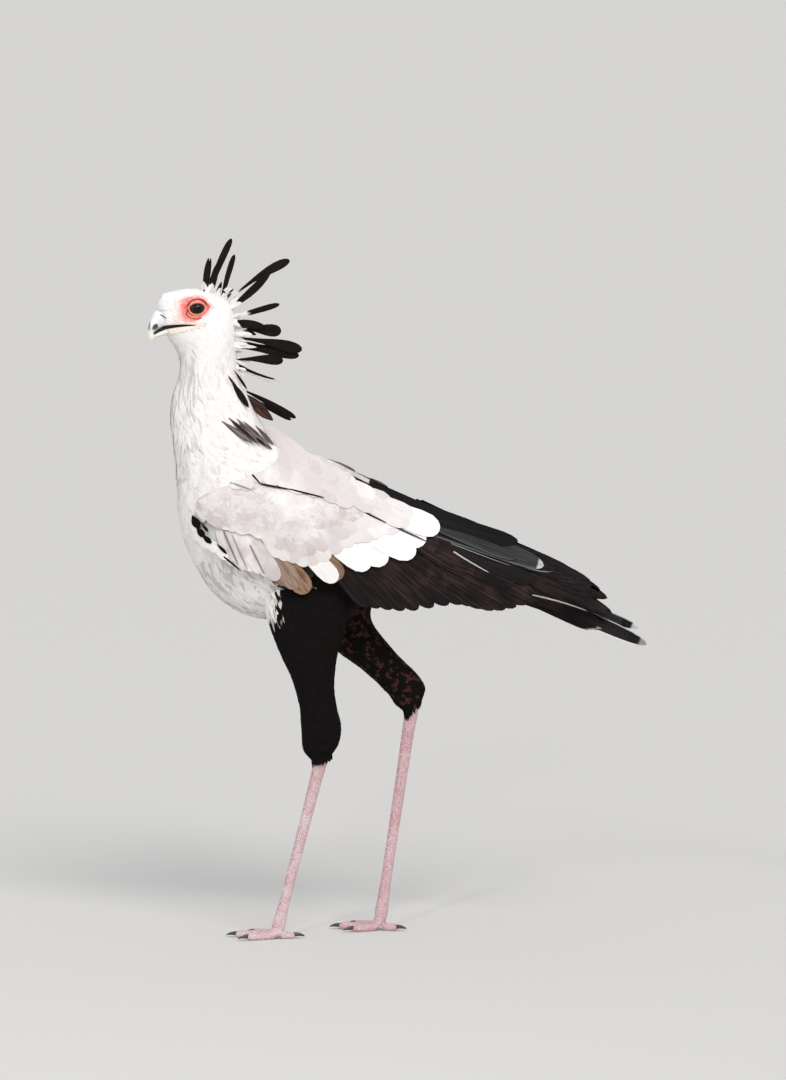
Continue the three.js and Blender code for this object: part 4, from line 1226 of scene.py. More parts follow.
def turnAbout(obj, degrees, x, y):
    choose(obj)
    there = Matrix.Translation(((x + shift) / 1000, y / 1000, 0))
    obj.matrix_world = there @ Matrix.Rotation(math.radians(degrees), 4, "Z") @ there.inverted()
    bpy.ops.object.transform_apply(location=True, rotation=True, scale=True)


def buildLeg(side):
    shank = {
        "share": [-0.045, 0.0, 0.03, 0.07, 0.14, 0.3, 0.5, 0.7, 0.86, 0.94, 0.985, 1.03],
        "radius": [9, 10.2, 10.8, 10.4, 9.4, 8.9, 8.4, 8.0, 8.2, 9.4, 10.6, 9],
    }
    toe = {
        "share": [-0.12, 0.02, 0.14, 0.24, 0.34, 0.42, 0.52, 0.62, 0.72, 0.82, 0.92, 0.99, 1.04],
        "bulge": [0.8, 1.15, 1.12, 1.1, 0.98, 0.9, 1.04, 0.98, 0.86, 0.96, 0.88, 0.68, 0.35],
    }
    rows = legs[side]["thigh"]
    ankle = np.array(legs[side]["ankle"], float)
    top = np.array([(rows[-1][0] + rows[-1][2]) / 2, rows[-1][4], (rows[-1][1] + rows[-1][3]) / 2])
    length = np.linalg.norm(ankle - top)
    along = (ankle - top) / length
    lean = math.degrees(math.atan2(along[0], -along[2]))
    stations = []
    for share, radius in zip(shank["share"], shank["radius"]):
        x, y, z = top + along * length * share
        stations.append((x, y, z, -lean, radius, radius * 0.8))
    parts = [extrudeAlong("shank", stations, 20)]
    inward = 1 if side == "left" else -1
    for name, turn, reach, thick in toes:
        heading = legs["heading"] - inward * turn
        r = toeRadius * thick
        stations = []
        for share, fat in zip(toe["share"], toe["bulge"]):
            z = toeHeight(ankle, r, share)
            stations.append((ankle[0] + reach * share, ankle[1], z, 90, r * fat * 0.98, r * fat * 1.1))
        parts.append(extrudeAlong("toe", stations, 16))
        turnAbout(parts[-1], heading, ankle[0], ankle[1])
        buildClaw(side, name, ankle, reach, heading)
    leg = joinAll(f"leg{side.title()}", parts)
    applyModifier(leg, "REMESH", mode="VOXEL", voxel_size=0.0011)
    applyModifier(leg, "SMOOTH", factor=0.5, iterations=4)
    edit(leg)
    bpy.ops.mesh.bisect(plane_co=(0, 0, 0.0002), plane_no=(0, 0, 1), clear_inner=True, use_fill=True)
    leaveEdit()
    bpy.ops.object.shade_smooth()
    finish(leg, legPaint, "bare_skin", f"shank_{side}", f"foot_{side}")
    buildScutes(side, top, along, length, lean, ankle)


def buildClaw(side, name, ankle, reach, heading):
    claw = {
        "bow": [(-5, 0.2, 0.7), (0, 0.9, 0.84), (5, 1.2, 0.76), (10, 0.7, 0.56), (14.5, -0.5, 0.34)],
        "thick": 4.32,
    }
    bow = claw["bow"] + [(18 if name != "hind" else 16.5, -2, 0.1)]
    stations = []
    for a, b, c in bow:
        x, z = ankle[0] + reach + a, toeRadius * 0.78 + b
        stations.append((x, ankle[1], z, 90 + a * 1.2, claw["thick"] * c, claw["thick"] * c * 0.8))
    obj = extrudeAlong(f"claw{side.title()}{name.title()}", stations, 14)
    applyModifier(obj, "SUBSURF", levels=2, render_levels=2)
    bpy.ops.object.shade_smooth()
    turnAbout(obj, heading, ankle[0], ankle[1])
    finish(obj, clawPaint, "claw", f"claw_{side}_{name}")


def buildScutes(side, top, along, length, lean, ankle):  # the shank's front plates and those on the toes
    scutes = {
        "count": 27, "from": 0.07, "to": 0.93, "deep": 1.5, "wide": 6.9, "toeGap": 5.2,
        "toeTop": ([0.2, 0.42, 0.52, 0.72, 0.82, 1], [1.05, 0.84, 0.98, 0.80, 0.90, 0.62]),
    }
    forward = np.array([along[2], 0, -along[0]])
    pitch = length * (scutes["to"] - scutes["from"]) / scutes["count"]
    parts = []

    def plate(centre, size, turned):
        ball = {"segments": 14, "ring_count": 8, "radius": 1}
        bpy.ops.mesh.primitive_uv_sphere_add(**ball, location=centre, rotation=turned)
        bpy.context.object.scale = [s / 1000 for s in size]
        bpy.ops.object.transform_apply(location=True, rotation=True, scale=True)
        parts.append(bpy.context.object)

    for i in range(scutes["count"]):
        share = scutes["from"] + (scutes["to"] - scutes["from"]) * (i + 0.5) / scutes["count"]
        radius = np.interp(share, [0, 0.1, 0.3, 0.8, 0.95], [10.4, 9.8, 8.8, 8.0, 9.2])
        centre = top + along * length * share + forward * (radius - 1.2)
        size = (scutes["deep"], scutes["wide"] * radius / 9, pitch * 0.60)
        plate((Vector(centre) + Vector((shift, 0, 0))) / 1000, size, (0, math.radians(-lean), 0))
    inward = 1 if side == "left" else -1
    for _, turn, reach, thick in toes:
        heading = math.radians(legs["heading"] - inward * turn)
        r = toeRadius * thick
        for d in np.arange(reach * 0.22, reach * 0.97, scutes["toeGap"]):
            z = toeHeight(ankle, r, d / reach)
            z += r * np.interp(d / reach, *scutes["toeTop"]) - 0.9
            x, y = ankle[0] + shift + math.cos(heading) * d, ankle[1] + math.sin(heading) * d
            at = Vector((x, y, z)) / 1000
            plate(at, (scutes["toeGap"] * 0.56, r * 0.72, 1.3), (0, 0, heading))
    plates = joinAll(f"scutes{side.title()}", parts)
    bpy.ops.object.shade_smooth()
    finish(plates, legPaint, "bare_skin")


for side in ("left", "right"):
    buildLeg(side)
print("legs ready")

sheetRing, sheetStep = 192, 20  # points around the body sheet, and its rows for each station
gridT = np.linspace(0, 26, 26 * sheetStep + 1)
gridA = np.arange(sheetRing) * 2 * math.pi / sheetRing
bodySheet = Surface(bodyPoints(*np.meshgrid(gridT, gridA, indexing="ij")))


def toU(t):
    return t * sheetStep


def dorsal(v):  # 0 along the belly, 1 along the back
    return 0.5 - 0.5 * np.cos(v * 2 * math.pi / sheetRing)


def leaning(v, amount):  # feathers of the sides lean towards the back
    return amount * np.sin(v * 2 * math.pi / sheetRing)


def buildHeadCoat():
    spec = {
        "length": 8.2, "width": 4.6, "profile": "lance", "sink": 0.6, "lift": 0.16,
        "camber": 0.01, "thick": 0.12,
    }

    def keep(p, u, v):
        bare = bareSkin(p[:, 0], p[:, 2])
        flank = np.abs(np.sin(v * 2 * math.pi / sheetRing)) > 0.2
        chin = (p[:, 2] > 940) | (p[:, 0] > -253)
        return ((bare < -0.2) | ~flank | (p[:, 0] > -178)) & chin

    u, v, p = scatter(bodySheet, (toU(0.75), toU(8.8)), lambda u: 2.55 + 0.7 * step(u, 60, 150), keep)
    nape = step(u, 60, 130) * step(dorsal(v), 0.3, 0.8)
    scale = 0.7 + 0.55 * step(u, 50, 165) + 0.9 * nape
    # painted shade: the head's underside gets a little rosy grey
    shade = 0.25 * rng.uniform(0, 1, len(u)) * step(dorsal(v), 0.4, 0.1)
    coat = layFeathers("featherHead", bodySheet, u, v, spec, {"tone": shade}, leaning(v, 0.2), scale)
    finish(coat, plumage, "white_plumage")


def buildNeckCoat():
    spec = {
        "length": 36, "width": 10.5, "profile": "lance", "sink": 0.6, "lift": 0.25,
        "camber": 0.005, "thick": 0.1, "stray": 0.08, "curl": 0.05,
    }
    bands = {"featherNeckUpper": (7.9, 11.4, 4.1), "featherNeckLower": (11.2, 15.8, 5.2)}
    for name, (start, end, gap) in bands.items():
        u, v, _ = scatter(bodySheet, (toU(start), toU(end)), lambda u: gap)
        throat = step(dorsal(v), 0.35, 0.05) * step(u, 150, 185) * step(u, 280, 240)
        loose = throat * (rng.uniform(0, 1, len(u)) > 0.8)
        scale = (0.8 + 0.3 * step(u, 170, 260)) * (1 + 0.15 * loose)
        # painted shade: throat feathers between the loose strands, and a few neck feathers, are painted grey
        greyShade = 0.6 * throat * (rng.uniform(0, 1, len(u)) > 0.6) * (1 - loose)
        greyShade += 0.3 * (rng.uniform(0, 1, len(u)) > 0.93) * (u > 170)
        tone = 0.30 * rng.uniform(0, 1, len(u))
        lifted = dict(spec, rise=1 + 4 * loose)
        marks = {"tone": tone, "greyShade": greyShade}
        coat = layFeathers(name, bodySheet, u, v, lifted, marks, leaning(v, 0.22), scale)
        finish(coat, plumage, "white_plumage")


def buildStrands():  # loose strands that hang from the chin and lie over the throat
    spec = {
        "length": 34, "width": 3.4, "profile": "lance", "sink": 1.0, "lift": 1.5,
        "camber": 0.02, "thick": 0.2, "stray": 0.14, "curl": 0.18,
    }
    u, v, p = scatter(bodySheet, (toU(2.2), toU(12)), lambda u: 9.0 + 5 * step(u, 180, 240))
    keep = (bareSkin(p[:, 0], p[:, 2]) < -2) | (p[:, 0] > -170)
    keep &= dorsal(v) < 0.34
    u, v, p = u[keep], v[keep], p[keep]
    scale = 0.75 + 0.35 * step(u, 60, 200)
    # painted shade: some strands are painted grey
    marks = {"greyShade": 0.5 * (rng.uniform(0, 1, len(u)) > 0.7), "tone": 0.2 * rng.uniform(0, 1, len(u))}
    coat = layFeathers("featherStrands", bodySheet, u, v, spec, marks, leaning(v, 0.24), scale)
    finish(coat, plumage, "white_plumage")


def buildBodyCoat():
    spec = {
        "length": 48, "width": 20, "profile": "contour", "sink": 0.9, "lift": 0.35,
        "camber": 0.005, "thick": 0.15, "stray": 0.11, "curl": 0.06,
    }
    for name, start, end in (("featherBreast", 14.6, 19.5), ("featherBack", 19.4, 25.2)):
        u, v, p = scatter(bodySheet, (toU(start), toU(end)), lambda u: 9.4)
        tone = 0.75 * step(dorsal(v), 0.45, 0.75) * rng.uniform(0.4, 1, len(u))
        tone += 0.25 * rng.uniform(0, 1, len(u))
        dark = darkness(p - np.array([0, 0, 22 if name == "featherBreast" else 0]))
        marks = {"dark": dark, "tone": np.clip(tone, 0, 1), "rust": fringe(p)}
        finish(layFeathers(name, bodySheet, u, v, spec, marks, leaning(v, 0.05)), plumage, "white_plumage")


def fringe(p):  # the rusty feathers where the white belly meets the black thighs
    x, z = p[:, 0], p[:, 2]
    edge = np.exp(-(((x + 88) / 13) ** 2 + ((z - 515) / 26) ** 2))
    return np.clip(edge * rng.uniform(0.1, 1.5, len(x)), 0, 1)


def buildBellyFluff():  # long loose feathers that hang from the breast's end and the belly
    spec = {
        "length": 50, "width": 9, "profile": "lance", "sink": 1.0, "lift": 1.1,
        "camber": 0.01, "thick": 0.18, "stray": 0.16, "curl": 0.14,
    }
    low = lambda p, u, v: dorsal(v) < 0.34
    u, v, p = scatter(bodySheet, (toU(16.2), toU(22.5)), lambda u: 7.5, low)
    dark = darkness(p + np.array([14, 0, -8]))
    scale = 0.75 + 0.35 * step(dorsal(v), 0.3, 0.0)
    # painted shade: some belly feathers are painted grey
    greyShade = 0.6 * (rng.uniform(0, 1, len(u)) > 0.82) * (1 - dark)
    rust = fringe(p + np.array([6, 0, -4]))
    marks = {"dark": dark, "rust": rust, "greyShade": greyShade, "tone": 0.3 * rng.uniform(0, 1, len(u))}
    coat = layFeathers("featherBelly", bodySheet, u, v, spec, marks, leaning(v, -0.25), scale)
    finish(coat, plumage, "white_plumage")


def buildThighCoat(side):
    spec = {
        "length": 27, "width": 8.0, "profile": "lance", "sink": 3.0, "lift": 0.9,
        "camber": 0.05, "thick": 0.3, "stray": 0.13, "curl": 0.08,
    }
    t = np.linspace(0, 1, 241)
    a = np.arange(96) * 2 * math.pi / 96
    sheet = Surface(thighPoints(side, *np.meshgrid(t, a, indexing="ij")))
    u, v, p = scatter(sheet, (0, 236), lambda u: 5.4 - 1.3 * step(u, 150, 230))
    scale = 1.15 - 0.55 * step(u, 170, 236)
    mottle = 0.95 if side == "right" else 0.04
    wave = 3 * np.sin(p[:, 2] * 0.35) + rng.normal(0, 2.5, len(u))
    dark = step(p[:, 0] + wave, -82, -78) + step(p[:, 2] + wave, 532, 526)
    rust = (0.25 + 0.75 * step(p[:, 0], -98, -84)) * rng.uniform(0, 1, len(u))
    dark = np.clip(dark, 0, 1)
    marks = {"dark": dark, "mottle": np.full(len(u), mottle), "rust": rust * (1 - dark)}
    coat = layFeathers(f"featherThigh{side.title()}", sheet, u, v, spec, marks, 0.0, scale)
    finish(coat, plumage, "black_plumage")


buildHeadCoat()
buildNeckCoat()
buildStrands()
buildBodyCoat()
buildBellyFluff()
for side in ("left", "right"):
    buildThighCoat(side)
print("body feathers ready")

folds = {  # lower edges of the shoulder feathers that stand out over the wing
    "shoulder": [(-127, 740), (-108, 719), (-67, 713), (-8, 699), (62, 690), (130, 668), (160, 661)],
    "front": [(-189, 728), (-148, 719), (-121, 711)],
}


def wingVanes(name, sign, rows, profile, columns, thick, camber, marks, cells=None):
    rows = np.asarray(rows, float)
    n = len(rows)
    keys = (rows[:, i][:, None, None] for i in range(10))
    tipX, tipZ, angle, length, width, lift, tilt, bow, sink, pitch = keys
    s, w, c, top = vaneGrid(profile, columns)
    S, W, C = s[None, :, None], w[None, :, None], c[None, None, :]
    ax, az = np.cos(np.radians(angle)), -np.sin(np.radians(angle))
    dx, dz = az, -ax  # towards the lower edge
    along = length * (S - 1)
    side = width / 2 * W * C + bow * 4 * S * (1 - S)
    x = tipX + ax * along + dx * side
    z = tipZ + az * along + dz * side
    rise = lift + pitch * (S - 1) - sink * (1 - step(S, 0, 0.35)) + tilt * C * W
    rise = rise + camber * width * (1 - C**2) * W
    rise = rise - thick * (1 - C**2) ** 0.5 * (1 - top)[None, None, :]
    y = np.maximum(wingAt(x, z) + rise, 1.4 + 0.25 * top)
    points = np.stack([x * np.ones_like(y), sign * y, z * np.ones_like(y)], -1)
    shape = n, len(s), len(c)
    faces = ringFaces(*shape)
    if sign > 0:
        faces = faces[:, ::-1]
    obj = meshObject(name, place(points.reshape(-1, 3)), faces)
    for key, value in marks.items():
        marks[key] = value(x, z) if callable(value) else value
    markFeathers(obj, shape, S, C, length, marks)
    root = (tipX - ax * length).ravel(), (tipZ - az * length).ravel()
    spot = np.stack([wingAt(*root, tableAlong), wingAt(*root, tableAcross)], -1) * 0.98 + 0.01
    vaneMap(obj, shape, S, C, spot, cells)
    return obj


def tipRow(count, tips, angles, lengths, widths, lift, tilt, bow=0.0, sink=3.0, pitch=0.0, uneven=0.05):
    share = np.linspace(0, 1, count)
    wobble = 1 + uneven * np.sin(np.arange(count) * 2.4 + lift)
    rows = np.zeros((count, 10))
    rows[:, 0:2] = curveAt(np.array(tips, float), share)
    rows[:, 2] = angles[0] + (angles[1] - angles[0]) * share
    rows[:, 3] = (lengths[0] + (lengths[1] - lengths[0]) * share) * wobble
    rows[:, 4] = widths[0] + (widths[1] - widths[0]) * share
    rows[:, 5:10] = lift, tilt, bow, sink, pitch
    return rows


def single(items, lift, tilt, sink=3.0, pitch=0.0, stack=0.0):  # from tip x, z, angle, length, width, bow
    rows = np.zeros((len(items), 10))
    for i, (x, z, angle, length, width, bow) in enumerate(items):
        rows[i] = x, z, angle, length, width, lift - stack * i, tilt, bow, sink, pitch
    return rows


def sides(name, sign):
    return f"{name}{'Left' if sign < 0 else 'Right'}"


def buildFlight(sign):
    quills = {
        "primaries": single(
            [(383, 564, 23, 300, 29, 4), (405, 553, 24.5, 300, 25, 5), (419, 541, 26, 310, 24, 5),
             (430, 529, 27, 315, 24, 5),
             (437, 506, 28, 320, 24, 6), (420, 492, 26.5, 300, 23, 5),
             (384, 503, 24, 270, 23, 4)], -3.4, 0.6, 1, 0, 0.9),
        "secondaries": tipRow(
            15, [[60, 527], [125, 520], [206, 528], [263, 517], [322, 530]],
            (48, 28), (110, 220), (31, 33), -4.4, 1.2, -5, 2),
        "tertials": single(
            [(354, 577, 21.5, 260, 28, 2), (318, 560, 24, 250, 30, 0), (285, 556, 27, 220, 30, -2),
             (258, 566, 29, 190, 31, -3),
             (214, 577, 32, 160, 31, -3)], -1.6, 0.9, 3),
        "slate": single([(331, 583, 19.3, 240, 26, -3)], -0.2, 0.8, 3),
        "back": single(
            [(291, 619, 22.3, 285, 24, 12), (268, 610, 22.5, 230, 24, 3), (240, 636, 24.0, 196, 21, 7),
             (206, 648, 24.5, 156, 19, 6)],
            2.6, 0.5, 5, 0, 0.35),
        "upperSlate": single([(288, 597, 21.5, 150, 15, 0)], 4.4, 0.3, 1.4),
    }
    streaks = single([(246, 576.5, 32, 78, 2.0, 1), (399, 513, 17.5, 90, 2.4, -2),
                      (206, 634.5, 23, 42, 1.6, 0), (279, 586.5, 21.5, 112, 1.3, 1)], 0.6, 0.0, 2.5)
    first, total = 0, 7
    parts = []
    if sign > 0:
        quills["back"][:, 1] -= 7
    for name, rows in quills.items():
        n = len(rows)
        marks = {key: np.zeros(n) for key in ("ash", "tipped", "rimLow", "rimHigh", "pale", "banded")}
        marks["warm"] = np.full(n, 0.35)
        if name == "secondaries":
            marks["warm"] = np.linspace(0.4, 0.8, n)
        if name == "slate":
            marks["ash"][0] = 1.0
            marks["tipped"][0] = 0.6
        if name == "upperSlate":
            marks["ash"][0] = 0.85
        if name == "back":
            marks["warm"][:] = 0.0
        if name == "tertials":
            marks["warm"] = np.array([0.1, 0.2, 0.5, 0.7, 0.8])
            marks["rimLow"][0] = 0.2
        profile = "strap" if name in ("back", "upperSlate") else "flight"
        parts.append(wingVanes(name, sign, rows, profile, 7, 0.7, 0.03, marks, (first, total)))
        first += n
    n = len(streaks)
    marks = {"pale": np.array([0.75, 0.75, 0.35, 0.35]), "warm": np.zeros(n)}
    parts.append(wingVanes("streaks", sign, streaks, "thread", 5, 0.5, 0.03, marks, (first, total)))
    vanes = joinAll(sides("flight", sign), parts)
    finish(vanes, flight, "black_plumage", "wing_left" if sign < 0 else "wing_right")


def foldPaintedShade(x, z):  # a thin line of painted shade just under the folds
    shade = np.zeros(np.shape(x))
    for line in folds.values():
        p = np.array(line, float)
        under = np.interp(x, p[:, 0], p[:, 1]) - z
        inside = (x > p[0, 0] - 4) & (x < p[-1, 0] + 6)
        shade = np.maximum(shade, np.exp(-(((under - 1.5) / 3.0) ** 2)) * inside * (under > -3))
    return 0.7 * shade


def backLine(x):  # height of the back's outline
    st = np.array(body["stations"], float)
    return np.interp(x, st[10:, 0], st[10:, 1])


def buildCoverts(sign):
    greater = [  # tip x, z, angle, length, width, bow; the last ones hang steeply in front
        (169.5, 642, 22.5, 112, 34, 0), (148, 626.5, 25, 118, 38, 0), (132, 607.5, 27, 112, 39, 0),
        (89, 597, 31, 104, 38, 0),
        (62, 588.5, 35, 96, 36, 0), (19, 572, 42, 88, 35, 0), (11, 567, 45, 84, 30, 0),
        (-33, 549, 52, 78, 34, 0),
        (-50, 556, 55, 76, 30, 0), (-67, 561, 58, 78, 28, 0), (-80, 568, 61, 82, 25, 0),
        (-94, 574, 63, 82, 23, 0),
        (-106, 579, 65, 80, 23, 0), (-119, 582, 66, 78, 23, 0), (-132, 584, 67, 74, 22, 0),
        (-146, 590, 67, 68, 22, 0),
    ]
    buff = np.array([0, 0, 0, 0, 0, 1, 0, 1, 0.9, 1, 0.2, 0, 0, 0, 0, 0])
    tone = np.array([0, 0, 0, 0, 0, 0, 0, 0, 0.6, 0.2, 0.8, 0.6, 1, 0.5, 1, 0.6])
    rows = single(greater, 2.6, 0.35, 2, 2.0)
    rows[:, 5] += 0.8 * (np.arange(len(rows)) % 2 == 0)
    rows[0, 5:9] = 4.6, 0.2, 0, 4
    parts = [wingVanes("covert", sign, rows, "covert", 7, 0.25, 0.0, {"rust": buff, "tone": tone})]
    # thin grey and dark threads between the hanging front coverts: painted shadow in the gaps
    shadowGaps = single([(-141, 592, 67, 58, 2.6, 0), (-126, 584, 66, 60, 2.2, 0),
                   (-100, 577, 64, 58, 2.6, 0)], 4.0, 0.0)
    shade = {"greyShade": np.ones(3), "dark": np.array([0.5, 0.2, 0.35])}
    parts.append(wingVanes("covert", sign, shadowGaps, "thread", 3, 0.2, 0.0, shade))

    def tier(rows, marks, profile="covert", camber=0.02, thick=0.3, columns=5):
        n = len(rows)
        rows[:, 0:2] += rng.normal(0, 1.5, (n, 2))
        rows[:, 2] += rng.normal(0, 3.5, n)
        rows[:, 3:5] *= rng.uniform(0.9, 1.1, (n, 1))
        parts.append(wingVanes("covert", sign, rows, profile, columns, thick, camber, marks))

    median = [[-74, 606], [-28, 594], [36, 622], [88, 642], [116, 652]]
    second = [[-84, 622], [-30, 608], [30, 636], [74, 654], [98, 662]]
    for k, tips in enumerate((median, second)):
        rows = tipRow(15, tips, (58, 25), (62, 88), (26, 32), 2.9 + 0.15 * k, 0.1, 0, 3, 1.2, 0.08)
        tone = 0.35 + 0.25 * k + 0.2 * rng.uniform(-1, 1, len(rows))
        rust = 0.35 * np.exp(-(((rows[:, 0] + 40) / 34) ** 2)) * rng.uniform(0, 1, len(rows))
        # painted shade under the folds on the median coverts
        tier(rows, {"tone": tone, "rust": rust, "greyShade": foldPaintedShade})
    X, Z = np.meshgrid(np.arange(-192, 104, 9.0), np.arange(606, 732, 8.0), indexing="ij")
    X = X.ravel() + rng.normal(0, 3, X.size)
    Z = Z.ravel() + rng.normal(0, 3, X.size)
    least = np.interp(X, [-192, -140, -90, -50, 10, 60, 104], [652, 640, 630, 616, 634, 656, 674])
    most = np.interp(X, [-192, -172, -148, -121, -67, -8, 62, 104], [690, 716, 724, 722, 719, 706, 692, 684])
    inside = (Z > least) & (Z < most)
    rows = np.zeros((inside.sum(), 10))  # lesser coverts, strewn over the wing up to its front edge
    rows[:, 0], rows[:, 1] = X[inside], Z[inside]
    rows[:, 2] = np.interp(rows[:, 0], [-190, 100], [60, 27])
    rows[:, 3:5] = 44, 20
    rows[:, 5] = 3.2
    rows[:, 6] = rng.normal(0, 0.12, len(rows))
    rows[:, 8:10] = 1.2, 0.4
    tone = 0.68 + 0.2 * rng.uniform(-1, 1, len(rows))
    rust = 0.35 * np.exp(-(((rows[:, 0] - 40) / 40) ** 2 + ((rows[:, 1] - 650) / 26) ** 2))
    rust += 0.5 * np.exp(-(((rows[:, 0] + 160) / 16) ** 2 + ((rows[:, 1] - 645) / 20) ** 2))
    rust *= rng.uniform(0, 1, len(rows))
    # painted shade under the folds on the lesser coverts
    tier(rows, {"tone": tone, "rust": rust, "greyShade": foldPaintedShade}, "contour", 0.0, 0.18)
    # thin dark threads along the folds: painted shadow lines under the edges of the shoulder feathers
    lines = single([(-106, 717, 45, 30, 2.6, 0), (-60, 709.5, 9.3, 47, 2.6, 0), (-8, 697, 13.5, 56, 2.4, 0),
                    (-148, 717, 12.4, 42, 2.0, 0), (-121, 709, 16.5, 28, 2.0, 0), (88, 657, 26.5, 38, 2.2, 0),
                    (151, 627, 25.5, 70, 2.2, 0)], 4.6, 0.0, 1)
    lines[:, 5] += np.array([1.4, 1.3, 1.3, 1.8, 1.8, 0.6, 0.4])
    dark = {"dark": np.array([1, 1, 1, 0.7, 0.7, 1, 1])}
    parts.append(wingVanes("covert", sign, lines, "thread", 3, 0.3, 0.0, dark))
    for k in range(5):  # shoulder feathers over the wing's upper edge
        up = 11.5 * k
        tips = [[-124 + 4 * k, 728 + 0.55 * up], [-67, 714 + 0.9 * up], [-8, 700 + up],
                [62, 680 + 0.85 * up], [134 - 5 * k, 656 + 0.75 * up], [163 - 9 * k, 651 + 0.72 * up]]
        rows = tipRow(14, tips, (38, 24), (56, 104), (22, 26), 4.9 + 0.05 * k, 0.1, 0, 4, 1.0, 0.12)
        rows[:, 0:2] += rng.normal(0, 2.5, (len(rows), 2))
        edge = np.interp(rows[:, 0], [19, 68, 102, 132, 165, 175], [734, 705, 681, 664, 655, 650])
        rows = rows[(rows[:, 1] + 11 < edge) | (rows[:, 0] < 8)]
        if sign > 0:
            rows[:, 1] -= 9
        roof = 2 if sign < 0 else -12
        for row in rows:  # no root stands out over the back's outline
            turn = math.radians(row[2])
            while row[3] > 34:
                x, z = row[0] - row[3] * math.cos(turn), row[1] + row[3] * math.sin(turn)
                if z <= backLine(x) + roof:
                    break
                row[3] -= 3
        rows = rows[rows[:, 1] + 10 < backLine(rows[:, 0]) + roof]
        tone = 0.72 + 0.12 * rng.uniform(-1, 1, len(rows))
        tone *= step(rows[:, 0], 150, 60) * 0.6 + 0.4
        tier(rows, {"tone": tone}, columns=7)
    filler = single([(70, 694, 27, 62, 22, 0), (40, 712, 27, 60, 22, 0),
                     (128, 664, 26, 66, 24, 0)], 5.0, 0.1, 4, 1.0)
    parts.append(wingVanes("covert", sign, filler, "covert", 5, 0.3, 0.02, {"tone": np.full(3, 0.4)}))
    for k in range(2):  # the front fold, where the shoulder lies over the wing's bend
        up = 12 * k
        tips = [[-190, 729 + 0.4 * up], [-148, 719 + up], [-119, 711 + up]]
        rows = tipRow(6, tips, (42, 34), (46, 50), (20, 22), 4.7 + 0.1 * k, 0.1, 0, 3, 1.0)
        tier(rows, {"tone": np.full(6, 0.6)})
    buildBend(sign, parts)
    coat = joinAll(sides("coverts", sign), parts)
    print(coat.name, len(coat.data.polygons) * 2, "triangles")
    finish(coat, plumage, "grey_plumage")


def buildBend(sign, parts):  # dark marks and white ridge at the bend of the wing
    bend = {
        "dark": [(-201, 648, 55, 21, 14, 0), (-193, 633.5, 52, 19, 11, 0), (-182, 625, 40, 18, 9, 0),
                 (-187, 643, 50, 15, 5, 0), (-135.5, 582, 39.5, 47, 3.2, 0), (-158, 609, 44, 22, 5, 0)],
        "white": [(-209, 640, 56, 34, 13, 0), (-198, 626, 52, 36, 14, 0), (-186, 617, 46, 36, 14, 0),
                  (-174, 612, 42, 34, 13, 0),
                  (-214, 655, 62, 30, 12, 0), (-158, 600, 48, 40, 14, 0)],
    }
    rows = single(bend["dark"], 6.6, 0.2, 2, 0.6)
    parts.append(wingVanes("bend", sign, rows, "leaf", 5, 0.4, 0.03, {"dark": np.full(len(rows), 1.0)}))
    rows = single(bend["white"], 5.6, 0.3, 3, 2.0)
    parts.append(wingVanes("bend", sign, rows, "covert", 5, 0.4, 0.03, {"tone": np.full(len(rows), 0.15)}))


def buildWingBase(sign):
    t = np.linspace(0.0, 8.2, 60)
    T, A = np.meshgrid(t, np.arange(56) * 2 * math.pi / 56, indexing="ij")
    centre, reach, out = wingLine(T)
    end = step(T, -0.7, 2.0) * (1 - 0.75 * step(T, 4.5, 8.2))
    across = np.cos(A) * (0.55 + 0.35 * end)
    outside = wingDistance(out, across) - 5 - 4 * (1 - end)
    depth = np.where(np.sin(A) > 0, 0, wing["depth"] * end * -np.sin(A))
    y = np.maximum(outside - depth, 2)
    x, z = (centre[..., k] + reach[..., k] * across for k in range(2))
    obj = gridObject(sides("wingBase", sign), np.stack([x, sign * y, z], -1))
    bpy.ops.object.shade_smooth()
    x, z = x.ravel(), z.ravel()
    # the top strip, where the wing meets the back, is painted a little dark as shade; the other terms mark
    # black plumage
    dark = 0.3 * step(z, 670, 690) + step(x, 100, 130) + step(z, 604, 590) * step(x, -96, -80)
    dark += step(x, 14, 34) * step(z, 664, 680)  # under the black feathers of the back
    attribute(obj, "dark", np.clip(dark, 0, 1))
    finish(obj, skinPaint, "grey_plumage")


for sign in (-1, 1):
    buildWingBase(sign)
    buildFlight(sign)
    buildCoverts(sign)
print("wings ready")


def freeVanes(name, items, profile, columns, thick, camber, marks, cells):  # feathers in free air
    s, w, c, top = vaneGrid(profile, columns)
    root, tip, sag, side = (np.array([i[k] for i in items], float)[:, None, :] for k in range(4))
    width = np.array([i[4] for i in items], float)[:, None, None]
    shape = len(items), len(s), len(c)
    q = s[None, :, None]
    mid = (root + tip) / 2 + sag
    path = (1 - q) ** 2 * root + 2 * q * (1 - q) * mid + q**2 * tip
    slope = 2 * (1 - q) * (mid - root) + 2 * q * (tip - mid)
    slope /= np.linalg.norm(slope, axis=-1, keepdims=True)
    edge = np.cross(slope, side)
    edge /= np.linalg.norm(edge, axis=-1, keepdims=True)
    normal = np.cross(edge, slope)
    S, W, C = s[None, :, None], w[None, :, None], c[None, None, :]
    flat = (width / 2 * W * C)[..., None] * edge[:, :, None, :]
    rise = camber * width * (1 - np.abs(C) ** 1.5) * W - thick * (1 - C**2) ** 0.5 * (1 - top)[None, None, :]
    points = path[:, :, None, :] + flat + rise[..., None] * normal[:, :, None, :]
    obj = meshObject(name, place(points.reshape(-1, 3)), ringFaces(*shape))
    edit(obj)
    bpy.ops.mesh.normals_make_consistent(inside=False)
    leaveEdit()
    markFeathers(obj, shape, S, C, np.linalg.norm(tip - root, axis=-1), marks)
    vaneMap(obj, shape, S, C, None, cells)
    return obj


